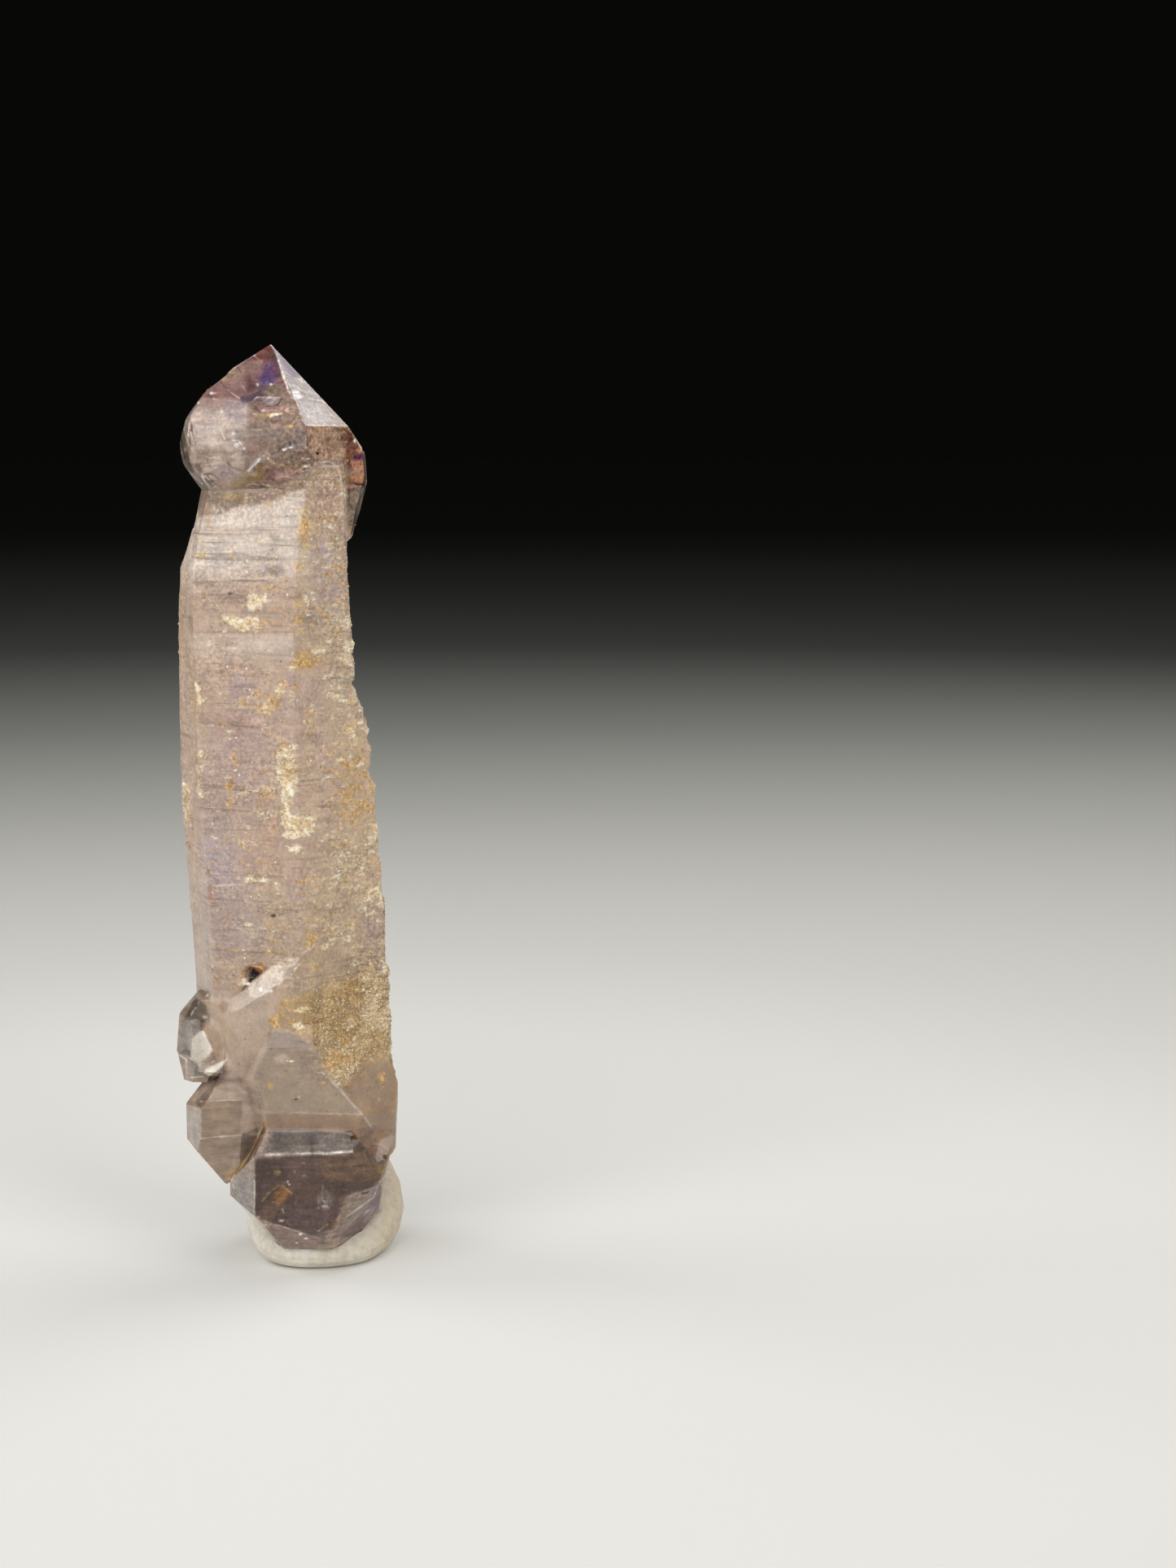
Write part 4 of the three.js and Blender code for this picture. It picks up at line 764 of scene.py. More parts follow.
STAINS = [
    # Iron stain: strength, spread
    spot("cream", 1, 0.1, -6.7, 77.5, 0.28, 0.28),
    spot("cream", 1, 0.1, -12.6, 77.5, 0.18, 0.18),
    spot("cream", 1, 0.1, 1.4, 77.2, 0.33, 0.33),
    spot("cream", 1, 0.1, 2.7, 76.4, 0.21, 0.21),
    spot("cream", 1, 0.13, -1.4, 74.9, 0.41, 0.36),
    spot("cream", 1, 0.1, -12.1, 67.4, 0.21, 0.21),
    spot("cream", 1, 0.1, -3.7, 51.1, 0.26, 0.23),
    spot("cream", 1, 0.1, 2.8, 60.6, 0.21, 0.15),
    spot("cream", 1, 0.1, 5.5, 58.5, 0.31, 0.15),
    spot("cream", 1, 0.1, -8, 38.3, 0.31, 0.21),
    spot("cream", 1, 0.08, -2.3, 28, 0.15, 0.15),
    spot("iron", 0.9, 0.26, 0.6, 97, 0.41, 1.54),
    spot("iron", 0.6, 0.26, 0.1, 90.7, 0.67, 0.67),
    spot("iron", 0.9, 0.26, -7.1, 87.1, 0.77, 0.31),
    area("cream", 1.3, 0.26, -6.5, 87.5, -4.4, 87.5, -4.3, 86.4, -5.4, 85.4, -6.4, 85.4, -6.7, 86.5),
    area("cream", 1.3, 0.26, -9.9, 85, -5.1, 85, -5.2, 83.4, -7.7, 83, -9.6, 84.1),
    spot("iron", 0.9, 0.26, -4.9, 84.1, 0.36, 0.97),
    spot("iron", 0.5, 0.26, -5.1, 85.4, 0.36, 0.36),
    spot("cream", 0.8, 0.26, -13.4, 86.2, 0.41, 0.51),
    spot("iron", 0.8, 0.26, -0.4, 86.5, 0.51, 0.36),
    spot("iron", 0.8, 0.31, -0.3, 84.1, 0.62, 1.13),
    spot("cream", 0.8, 0.26, 1.4, 86.8, 0.36, 0.77),
    spot("iron", 0.7, 0.36, 0.1, 79.8, 1.18, 0.92),
    spot("iron", 0.7, 0.31, 1.7, 79.6, 0.56, 0.62),
    line("iron", 1, 0.36, -2.4, 77, -3, 75.2),
    spot("cream", 0.7, 0.26, -3.8, 76.8, 0.36, 0.46),
    spot("cream", 0.6, 0.26, -1.7, 77.8, 0.67, 0.21),
    spot("iron", 0.8, 0.26, -1, 76.1, 0.26, 0.77),
    line("cream", 1.5, 0.26, -13.2, 76.7, -13, 75.5, -12.9, 73.7),
    spot("iron", 0.7, 0.15, -13.1, 75.9, 0.21, 0.56),
    spot("cream", 0.9, 0.36, -4.7, 73.6, 0.87, 0.92),
    spot("iron", 0.8, 0.21, -4.6, 73.8, 0.46, 0.41),
    spot("cream", 0.8, 0.31, -7.9, 73.6, 0.62, 0.56),
    spot("iron", 0.6, 0.26, -7.3, 74, 0.36, 0.51),
    spot("cream", 0.6, 0.31, -7.2, 75.3, 0.67, 0.31),
    line("iron", 0.9, 0.33, -5.1, 71.3, -3.9, 69.9),
    spot("cream", 0.8, 0.26, -3.9, 69.9, 0.67, 0.41),
    line("iron", 0.5, 0.31, 1.3, 75.2, 1.3, 67.6),
    line("cream", 0.5, 0.26, 1.1, 73.5, 1.2, 68.8),
    spot("iron", 0.6, 0.26, -1, 73.5, 0.36, 0.36),
    spot("iron", 0.8, 0.26, -8.8, 67.3, 0.36, 1.03),
    area("cream", 0.9, 0.26, -3.7, 69.1, -1, 68.8, -0.8, 64.2, -3.6, 64.2),
    spot("iron", 0.9, 0.26, -2.6, 68.7, 0.46, 0.56),
    spot("iron", 1, 0.31, -2, 65.8, 0.87, 1.03),
    spot("cream", 0.8, 0.31, -9.3, 65.1, 1.54, 0.67),
    spot("iron", 0.6, 0.26, -8.3, 66.1, 0.67, 0.46),
    line("cream", 1.4, 0.23, -13, 67.6, -13, 64.2),
    spot("cream", 0.6, 0.36, -6, 79.8, 0.51, 0.31),
    spot("cream", 0.6, 0.31, 2.4, 66.3, 0.77, 0.31),
    spot("iron", 0.9, 0.31, -0.2, 79.1, 1.64, 1.13),
    spot("cream", 0.7, 0.31, -1, 78.3, 1.03, 0.62),
    spot("iron", 0.8, 0.31, 1.7, 79.4, 1.23, 0.82),
    spot("cream", 0.7, 0.31, 2.1, 80.6, 1.03, 0.82),
    spot("cream", 0.8, 0.21, -3.1, 75.7, 0.82, 0.62),
    spot("iron", 0.9, 0.21, -3.5, 74.3, 0.82, 0.72),
    spot("cream", 0.8, 0.21, -1.5, 74.7, 0.62, 0.82),
    spot("cream", 0.7, 0.21, -2.1, 72.8, 0.82, 0.41),
    spot("iron", 0.7, 0.31, -4.3, 73.3, 0.62, 0.62),
    line("cream", 1, 0.21, 0.6, 87.2, 0.9, 85),
    spot("cream", 0.7, 0.31, 3, 84.4, 0.82, 0.62),
    spot("iron", 0.7, 0.31, 4.2, 83.1, 0.82, 1.03),
    spot("cream", 0.7, 0.31, 3.4, 81.6, 1.03, 0.82),
    spot("iron", 0.6, 0.41, 0.1, 84.6, 0.82, 1.44),
    line("cream", 1, 0.21, 0.9, 75.5, 1, 71.4),
    line("iron", 0.8, 0.21, 0.6, 74.5, 0.7, 69.9),
    spot("cream", 0.6, 0.31, 4.7, 77.5, 0.62, 1.03),
    spot("cream", 0.6, 0.31, -2.2, 67.3, 0.62, 1.44),
    spot("iron", 0.6, 0.31, 6, 69.9, 0.82, 1.44),
    # Right side crust
    area("cream", 0.6, 0.51, 3.8, 87.9, 5.8, 87.9, 6.4, 84.1, 6.7, 81.1, 6.9, 77.5, 5.4, 77.5, 4.4, 80.8, 4,
        84.1),
    spot("iron", 0.7, 0.36, 4.8, 87.1, 0.67, 0.67),
    spot("cream", 1, 0.26, 4.2, 83.7, 0.62, 0.67),
    spot("cream", 1, 0.21, 5.7, 84.4, 0.36, 0.77),
    spot("cream", 1, 0.21, 6.5, 81.6, 0.31, 0.62),
    spot("cream", 0.9, 0.31, 4.9, 79.8, 1.03, 0.62),
    spot("cream", 0.8, 0.31, 3.3, 81.9, 0.51, 1.03),
    spot("cream", 0.8, 0.31, 5.5, 75.5, 0.46, 0.31),
    spot("iron", 0.7, 0.31, 6.1, 74.2, 0.77, 0.67),
    spot("cream", 0.8, 0.26, 5.9, 70.4, 0.62, 0.46),
    spot("cream", 0.9, 0.21, 8.1, 70.5, 0.31, 0.51),
    line("iron", 0.8, 0.26, 7.5, 74.5, 8.1, 71.9, 8.3, 68.1),
    spot("cream", 0.7, 0.31, 7, 66.3, 0.77, 0.51),
    spot("iron", 0.6, 0.36, 6.3, 67.3, 0.77, 1.03),
    # Middle
    area("cream", 1, 0.26, -15.5, 64.2, -14.3, 63.4, -14.6, 58.8, -15.2, 58.8, -15.5, 62.1),
    spot("iron", 0.8, 0.26, -14.8, 61.9, 0.31, 1.03),
    line("cream", 1.5, 0.23, -13, 65.2, -13, 61.9),
    line("iron", 0.9, 0.28, -9, 65.2, -9.4, 62.4, -9.1, 59.9),
    spot("iron", 0.7, 0.21, -9.1, 60.5, 0.36, 0.56),
    line("cream", 0.9, 0.31, -8.7, 62.2, -6.8, 63.1, -4, 63.1),
    spot("cream", 0.9, 0.31, -4.6, 59.9, 1.18, 0.56),
    spot("cream", 0.6, 0.31, -6.9, 60.3, 0.77, 0.51),
    area("cream", 1, 0.21, -3.2, 65.2, -0.6, 65.2, -1.5, 60.3, 1.2, 60.1, 1.1, 57, -2.9, 56.8, -3.1, 60.1),
    spot("iron", 0.9, 0.21, -2, 65, 0.77, 0.31),
    spot("iron", 1, 0.31, -0.4, 59, 1.33, 0.87),
    spot("iron", 0.6, 0.26, -2.5, 59.7, 0.41, 0.67),
    area("cream", 0.8, 0.26, -2.9, 56.2, -0, 56.2, -0.3, 54.9, -2.1, 55),
    spot("cream", 0.7, 0.31, -7.1, 56.1, 1.03, 0.31),
    line("iron", 0.6, 0.21, -8.3, 56.7, -8.2, 53.3),
    spot("cream", 0.7, 0.21, -8.5, 55.1, 0.31, 0.21),
    spot("cream", 0.6, 0.26, -9.5, 57.9, 0.77, 0.46),
    spot("iron", 0.6, 0.21, -12.2, 57.6, 0.46, 0.36),
    spot("iron", 0.7, 0.21, -11.7, 52.2, 0.51, 0.26),
    area("cream", 0.8, 0.26, -7.8, 52, -5, 52.4, -5, 51.2, -7.7, 51.1),
    spot("iron", 0.8, 0.21, -5.8, 51.9, 0.67, 0.36),
    spot("iron", 0.7, 0.26, -8.6, 50.2, 0.82, 0.41),
    spot("iron", 0.7, 0.36, 0, 51.9, 1.03, 0.77),
    spot("iron", 0.5, 0.31, 0.6, 53.8, 0.41, 1.03),
    spot("iron", 0.8, 0.26, 5.1, 51.7, 0.41, 0.92),
    spot("iron", 0.7, 0.21, 3.6, 56.1, 0.51, 0.51),
    spot("iron", 0.8, 0.21, 8.7, 53.8, 0.36, 0.77),
    spot("iron", 0.8, 0.21, 8.9, 51.1, 0.41, 0.26),
    line("iron", 0.7, 0.18, 7.2, 49.7, 7.7, 50.6),
    spot("iron", 0.9, 0.21, -7.3, 46.1, 0.56, 0.26),
    spot("cream", 0.8, 0.21, -7.3, 45.8, 0.87, 0.26),
    spot("iron", 0.5, 0.21, -8, 47.3, 0.36, 0.77),
    spot("cream", 0.8, 0.26, 4.3, 48.2, 0.67, 0.46),
    spot("iron", 0.6, 0.31, 1.4, 48.4, 0.62, 1.03),
    spot("iron", 0.8, 0.26, 6, 46.1, 0.62, 0.62),
    spot("iron", 0.6, 0.26, 6.5, 45, 0.77, 0.41),
    spot("iron", 0.9, 0.31, 0.4, 44.1, 0.67, 1.18),
    spot("cream", 0.8, 0.21, 0.9, 45.7, 0.46, 0.41),
    spot("iron", 0.6, 0.26, -7.2, 42.3, 0.36, 0.87),
    spot("iron", 0.9, 0.21, -6.2, 40.3, 1.03, 0.36),
    spot("iron", 0.6, 0.31, -8.1, 39.2, 0.67, 0.77),
    spot("iron", 0.5, 0.51, 7.4, 39.7, 2.05, 1.54),
    spot("cream", 0.6, 0.51, 8.7, 39.2, 1.28, 1.28),
    # Druse
    area("iron", 0.5, 0.77, -4.4, 34.4, -2.4, 36.3, -0.4, 37.3, 10.1, 39.4, 10.2, 29.1, 6.5, 27.2, 3.6,
        25.6, 1.8, 29.1, -2, 32),
    spot("cream", 0.7, 0.36, 5.1, 32.8, 1.54, 1.03),
    spot("cream", 0.8, 0.31, 6.7, 34.1, 0.51, 0.41),
    spot("cream", 0.6, 0.36, 8.2, 38.1, 1.28, 1.03),
    spot("cream", 0.7, 0.36, -0.7, 34.8, 1.28, 0.77),
    spot("cream", 0.8, 0.31, -1.6, 32.8, 0.92, 0.67),
    spot("cream", 0.4, 0.36, 2.9, 30.9, 1.28, 0.77),
    spot("cream", 0.5, 0.36, 8.4, 31.5, 1.28, 1.28),
    spot("cream", 0.4, 0.36, 2.2, 33.9, 1.03, 1.03),
    spot("iron", 0.9, 0.36, 3.9, 28, 2.31, 1.28),
    spot("iron", 0.9, 0.31, -4.1, 33.1, 0.77, 0.77),
    spot("iron", 0.7, 0.36, 9.2, 25.6, 0.51, 1.03),
    spot("iron", 0.5, 0.36, 8.5, 23.2, 0.51, 0.51),
    spot("iron", 0.5, 0.36, 3.3, 25.3, 0.77, 0.51),
    spot("iron", 0.6, 0.31, -3, 35.5, 1.28, 1.03),
    spot("iron", 0.7, 0.31, 9.3, 25.3, 0.31, 0.62),
    spot("iron", 0.7, 0.31, 7.8, 27.7, 0.62, 0.31),
    spot("cream", 0.6, 0.31, 9, 28.8, 0.51, 0.41),
    spot("iron", 0.7, 0.31, 10.3, 27.7, 0.21, 0.82),
    spot("iron", 0.6, 0.31, 6.8, 26.2, 0.51, 0.31),
    spot("cream", 0.5, 0.31, 9.9, 23.7, 0.21, 0.41),
    spot("iron", 0.6, 0.31, -3, 35.4, 0.82, 0.82),
    spot("iron", 0.6, 0.31, 5.5, 32.3, 1.03, 0.82),
]


# Noise over points

LATTICE = np.random.RandomState(7).permutation(256)


def noise(points, size, seed=0):
    """Smooth noise from -1 to 1. size is the length of one wave, a number or one for each axis."""
    place = points / np.asarray(size, dtype=float)
    base = np.floor(place).astype(int)
    part = place - base
    part = part * part * (3.0 - 2.0 * part)
    total = np.zeros(len(points))
    for corner in np.ndindex(2, 2, 2):
        weight = np.prod(np.where(corner, part, 1.0 - part), axis=1)
        ix, iy, iz = (base + corner).T
        mixed = LATTICE[(LATTICE[(LATTICE[(ix + seed) & 255] + iy) & 255] + iz) & 255]
        total += weight * (mixed / 127.5 - 1.0)
    return total


def layers(points, size, seed=0, count=3):
    """Noise of several sizes, each half as long and half as strong as the one before."""
    size = np.asarray(size, dtype=float)
    shares = 0.5 ** np.arange(count)
    total = sum(share * noise(points, size * share, seed + 17 * i) for i, share in enumerate(shares))
    return total / shares.sum()


def step(low, high, value):
    """Smooth step from 0 at low to 1 at high; low may be the larger."""
    t = np.clip((value - low) / (high - low), 0.0, 1.0)
    return t * t * (3.0 - 2.0 * t)


def blend(base, color, amount):
    """The base colours with another colour laid over them as far as the amounts say."""
    amount = np.clip(amount, 0, 1)[:, None]
    return base * (1 - amount) + np.asarray(color) * amount


# Meshes as arrays

# Vertices closer than this in m are made one, and faces bent by less than this are joined
WELD = 2e-6
FLAT_WITHIN = math.radians(0.4)
MOST_HALVINGS = 16
# Edges bent by more than so many degrees stay crisp
CRYSTAL_SHARP, PUTTY_SHARP = 26, 40


def arrays_of(obj):
    """Welded vertices in mm and triangles of a CAD node, with flat areas joined and cut again."""
    bm = bmesh.new()
    bm.from_mesh(obj.data)
    bmesh.ops.remove_doubles(bm, verts=bm.verts, dist=WELD)
    bmesh.ops.dissolve_limit(bm, angle_limit=FLAT_WITHIN, verts=bm.verts, edges=bm.edges)
    bmesh.ops.triangulate(bm, faces=bm.faces, quad_method="BEAUTY", ngon_method="BEAUTY")
    bm.verts.index_update()
    points = np.array([v.co[:] for v in bm.verts]) / MM
    faces = np.array([[v.index for v in f.verts] for f in bm.faces])
    bm.free()
    return points, faces


def sides_of(faces):
    """The three sides of each triangle, as pairs of vertices."""
    return np.stack([faces[:, [0, 1]], faces[:, [1, 2]], faces[:, [2, 0]]], 1).reshape(-1, 2)


def refine(points, faces, limit):
    """Halves every edge longer than its limit, again and again. Neighbours share the new vertices.

    The limit gets the edges' middles, their lengths, and which of them belong to a face turned to the eye.
    """
    for _ in range(MOST_HALVINGS):
        edges, owner = np.unique(np.sort(sides_of(faces), 1), axis=0, return_inverse=True)
        owner = owner.reshape(-1, 3)
        middles = points[edges].mean(1)
        lengths = np.linalg.norm(points[edges[:, 0]] - points[edges[:, 1]], axis=1)
        a, b, c = points[faces].transpose(1, 0, 2)
        turned = np.einsum("ij,ij->i", np.cross(b - a, c - a), EYE - a) > 0
        front = np.zeros(len(edges), dtype=bool)
        front[owner[turned].ravel()] = True
        long = lengths > limit(middles, lengths, front)
        if not long.any():
            break
        index = np.full(len(edges), -1)
        index[long] = len(points) + np.arange(long.sum())
        points = np.vstack([points, middles[long]])
        mid = index[owner]
        split = mid >= 0
        parts = [faces[~split.any(1)]]
        whole = split.all(1)
        a, b, c = faces[whole].T
        ab, bc, ca = mid[whole].T
        parts += [np.stack(t, 1) for t in ((a, ab, ca), (ab, b, bc), (ca, bc, c), (ab, bc, ca))]
        for k in range(3):
            turn = [k, (k + 1) % 3, (k + 2) % 3]
            one = split[:, turn[0]] & ~split[:, turn[1]] & ~split[:, turn[2]]
            a, b, c = faces[one][:, turn].T
            m = mid[one][:, turn[0]]
            parts += [np.stack((a, m, c), 1), np.stack((m, b, c), 1)]
            two = split[:, turn[0]] & split[:, turn[1]] & ~split[:, turn[2]]
            a, b, c = faces[two][:, turn].T
            m, n = mid[two][:, turn[0]], mid[two][:, turn[1]]
            parts += [np.stack(t, 1) for t in ((a, m, c), (m, n, c), (m, b, n))]
        faces = np.vstack(parts)
    return points, faces


def soften(points, faces, amount, rounds):
    """Moves each vertex towards the middle of its neighbours, by its own amount, several times."""
    pairs = sides_of(faces)
    count = np.bincount(pairs[:, 0], minlength=len(points))
    for _ in range(rounds):
        sums = [np.bincount(pairs[:, 0], points[pairs[:, 1], k], len(points)) for k in range(3)]
        middle = np.stack(sums, 1) / count[:, None]
        points = points + (middle - points) * amount[:, None]
    return points


def normals_of(points, faces):
    """Outward unit normals at the vertices, weighted by area."""
    a, b, c = points[faces[:, 0]], points[faces[:, 1]], points[faces[:, 2]]
    cross = np.cross(b - a, c - a)
    normals = np.zeros_like(points)
    for k in range(3):
        np.add.at(normals, faces[:, k], cross)
    return normals / np.maximum(np.linalg.norm(normals, axis=1), 1e-12)[:, None]


def mesh_object(name, points, faces, sharp=None):
    """A mesh object from mm arrays. Edges bent by more than sharp degrees stay crisp."""
    mesh = bpy.data.meshes.new(name)
    mesh.from_pydata((points * MM).tolist(), [], faces.tolist() if hasattr(faces, "tolist") else faces)
    mesh.validate()
    obj = bpy.data.objects.new(name, mesh)
    bpy.context.scene.collection.objects.link(obj)
    if sharp is not None:
        mesh.shade_smooth()
        mesh.set_sharp_from_angle(angle=math.radians(sharp))
    return obj


def give(obj, name, values):
    """Stores a colour or a number at each vertex for the material to read."""
    if values.ndim == 2:
        layer = obj.data.attributes.new(name, "FLOAT_VECTOR", "POINT")
        layer.data.foreach_set("vector", values.astype(np.float32).ravel())
    else:
        layer = obj.data.attributes.new(name, "FLOAT", "POINT")
        layer.data.foreach_set("value", values.astype(np.float32))


# Marks

# Marks brighter than this are less see-through; they are real pale veils and painted glints and highlights
VEIL_AND_GLINT_FROM = 0.44
# How ragged the edge of a mark may be, in mm
RAGGED_EDGE = 0.16
# The marks fade from the second of these depths in mm to the first
MARKS_FADE = (4.0, 2.0)
# Faces behind this depth in mm aren't cut finer for marks. Above this height they are finer than below it.
MARKS_BACK = 2.0
HEAD_MARKS_ABOVE = 98.0
# Lines, and spots narrower than SMALL_SPOT, get the finest faces if they are stronger than CLEAR_STRENGTH.
# Softness counts only up to SOFT_EDGE, and no face along a mark's edge has longer sides than the last number.
CLEAR_STRENGTH = 0.55
SMALL_SPOT = 0.3
SOFT_EDGE = 0.3
LONGEST_MARK_EDGE = 0.6


def seen_from_front(p):
    """Where the line from the eye through each point meets the plane of the stem's front: x and z."""
    ray = p - EYE
    share = (FRONT_PLANE - EYE[1]) / ray[:, 1]
    return (EYE + ray * share[:, None])[:, [0, 2]]


def to_segments(seen, points, closed):
    """Least distance to the line through the points, and whether each place lies inside it."""
    best = np.full(len(seen), np.inf)
    inside = np.zeros(len(seen), dtype=bool)
    ends = np.roll(points, -1, axis=0) if closed else points[1:]
    for a, b in zip(points, ends):
        along = b - a
        t = np.clip((seen - a) @ along / max(along @ along, 1e-9), 0, 1)
        best = np.minimum(best, np.linalg.norm(seen - a - t[:, None] * along, axis=1))
        crosses = (a[1] > seen[:, 1]) != (b[1] > seen[:, 1])
        rise = b[1] - a[1] if b[1] != a[1] else 1e-9
        inside ^= crosses & (seen[:, 0] < a[0] + (seen[:, 1] - a[1]) * along[0] / rise)
    return best, inside


def away_from(seen, kind, size, points, margin):
    """Which places are near a mark, and how far those are outside it, in mm (inside it is below 0)."""
    points = np.array(points, dtype=float).reshape(-1, 2)
    if kind == "spot":
        middle, half = points
        low, high = middle - half, middle + half
    else:
        low, high = points.min(0), points.max(0)
    near = np.all((seen > low - margin) & (seen < high + margin), axis=1)
    at = seen[near]
    if kind == "spot":
        away = (np.linalg.norm((at - middle) / half, axis=1) - 1) * half.min()
    elif kind == "line":
        away = to_segments(at, points, closed=False)[0] - size
    else:
        away, inside = to_segments(at, points, closed=True)
        away = np.where(inside, -away, away)
    return near, away


def cover(seen, kind, size, points, ragged):
    """How much a mark covers each place, from 0 to 1."""
    near, away = away_from(seen, kind, size, points, 2.2 * size + 0.3)
    soft = 0.7 * size if kind == "line" else size
    amount = np.zeros(len(seen))
    amount[near] = step(soft, -soft, away + ragged[near] * min(RAGGED_EDGE, 1.2 * size))
    return amount


def painted(color, marks, f, shown):
    """The colour with the marks laid over it, and how much of each place is under pale marks, which are real
    pale veils and painted glints and highlights.
    """
    seen = f["seen"]
    veil_and_glint = np.zeros(len(seen))
    for kind, name, strength, size, points in marks:
        amount = cover(seen, kind, size, points, f["ragged"]) * strength * shown
        if kind == "line":
            amount = amount * f["broken"]
        color = blend(color, COLORS[name], amount)
        veil_and_glint = np.maximum(veil_and_glint * (1 - amount), amount * (np.mean(COLORS[name]) > VEIL_AND_GLINT_FROM))
    return color, veil_and_glint


def stains(seen, shown, ragged):
    """Soft amounts of iron stain and of cream crust; the material breaks their edges up."""
    amounts = {"iron": np.zeros(len(seen)), "cream": np.zeros(len(seen))}
    for kind, name, strength, size, points in STAINS:
        soft = 1.2 * size + 0.3
        near, away = away_from(seen, kind, size, points, soft + 0.3)
        amount = np.zeros(len(seen))
        amount[near] = step(soft, -soft, away + 0.6 * ragged[near]) * strength
        amounts[name] = np.maximum(amounts[name], amount * shown)
    return amounts["iron"], amounts["cream"]


def mark_edges(middles, lengths, front, size):
    """Shortens the wanted edge length along the edges of the marks, so that they come out clear."""
    front = np.flatnonzero(front & (middles[:, 1] < MARKS_BACK) & (lengths > FINEST))
    seen = seen_from_front(middles[front])
    half = 0.5 * lengths[front]
    wanted = size[front]
    for table in (HEAD_MARKS, STEM_MARKS, FOOT_MARKS):
        for kind, _, strength, width, points in table:
            width = min(width, SOFT_EDGE)
            share = 1.5 if kind == "line" else 3.0
            small = kind == "line" or (kind == "spot" and min(points[2:]) < SMALL_SPOT)
            least = (1.0 if points[1] > HEAD_MARKS_ABOVE else 1.25) * FINEST
            least = least if small and strength > CLEAR_STRENGTH else 2.0 * FINEST
            fine = np.clip(share * width * COARSE / (0.4 + 0.6 * strength), least, LONGEST_MARK_EDGE)
            near, away = away_from(seen, kind, width, points, width + 0.5)
            close = np.abs(away) < width + 0.04 + half[near]
            wanted[near] = np.where(close, np.minimum(wanted[near], fine), wanted[near])
    size[front] = wanted
    return size


# Places on the crystal

# Soft borders of the crystal's parts in mm: where each part starts and where it is full. The head's border
# rises to the right of HEAD_RISE_FROM, and the smoky crystal's seam leans to the right above SEAM_LOW.
HEAD_ABOVE = (100.1, 101.1)
HEAD_RISE, HEAD_RISE_FROM = 0.33, -5.0
SKIRT_RIGHT_OF, SKIRT_ABOVE = (4.9, 5.6), (92.6, 93.4)
SEAM_RIGHT, SEAM_LEFT, SEAM_RISE, SEAM_LOW = -5.8, -8.0, 0.48, 15.5
SMOKY_BELOW, SMOKY_IN_FRONT_OF = (26.2, 25.2), (-1.0, -2.5)
LITTLES_LEFT_OF, LITTLES_IN_FRONT_OF = (-9.2, -9.8), (1.5, 0.0)
LITTLES_ABOVE, LITTLES_BELOW = (24.2, 24.8), (36.2, 35.4)
FOOT_BELOW, FOOT_IN_FRONT_OF, SUNK_BELOW = (19.7, 19.1), (-8.6, -9.4), (12.2, 11.4)
FRONT_ABOVE = (44.0, 52.0)
# How far a face has to turn to the right or the left to be part of the right side or the left strip
TURNED_RIGHT, TURNED_LEFT = (0.25, 0.45), (-0.5, -0.7)


def regions(p, n):
    """Where each vertex belongs, as numbers from 0 to 1."""
    x, y, z = p.T
    head_height = z - HEAD_RISE * np.maximum(0.0, x - HEAD_RISE_FROM) + 0.5 * noise(p, 3.0, 5)
    head = np.maximum(step(*HEAD_ABOVE, head_height), step(*SKIRT_RIGHT_OF, x) * step(*SKIRT_ABOVE, z))
    seam = np.minimum(SEAM_RIGHT, SEAM_LEFT + SEAM_RISE * (z - SEAM_LOW))
    smoky = step(seam + 0.25, seam - 0.25, x) * step(*SMOKY_BELOW, z) * step(*SMOKY_IN_FRONT_OF, y)
    littles = step(*LITTLES_LEFT_OF, x) * step(*LITTLES_ABOVE, z) * step(*LITTLES_BELOW, z)
    littles = littles * step(*LITTLES_IN_FRONT_OF, y)
    edge = -13.4 + 1.4 * step(31.8, 30.2, z)
    littles = littles * np.maximum(step(edge, edge - 0.6, x), step(-9.2, -9.8, y)) * (1 - smoky)
    foot = step(*FOOT_BELOW, z) * step(*FOOT_IN_FRONT_OF, y)
    foot = np.maximum(foot, step(*SUNK_BELOW, z)) * (1 - smoky)
    plain = np.clip(1 - head - smoky - littles - foot, 0, 1)
    turned = step(*TURNED_RIGHT, n[:, 0]) * plain
    strip = step(*TURNED_LEFT, n[:, 0]) * step(1.5, 0.5, y) * plain
    return {
        "head": head,
        "front": plain * step(*FRONT_ABOVE, z),
        "smoky": smoky,
        "littles": littles,
        "foot": foot,
        "plain": plain,
        "turned": turned,
        "strip": strip,
    }


# Soft borders of the druse on the right side, whose lower end rises to the right, and of the calm low part
# of the front
DRUSE_BELOW, DRUSE_RIGHT_OF = (40.5, 35.5), (-2.5, 1.5)
DRUSE_END, DRUSE_END_RISE, DRUSE_RISES = 25.3, 1.8, (4.5, 7.0)
CALM_BELOW, CALM_LEFT_OF = (38.5, 36.0), (2.0, -1.0)


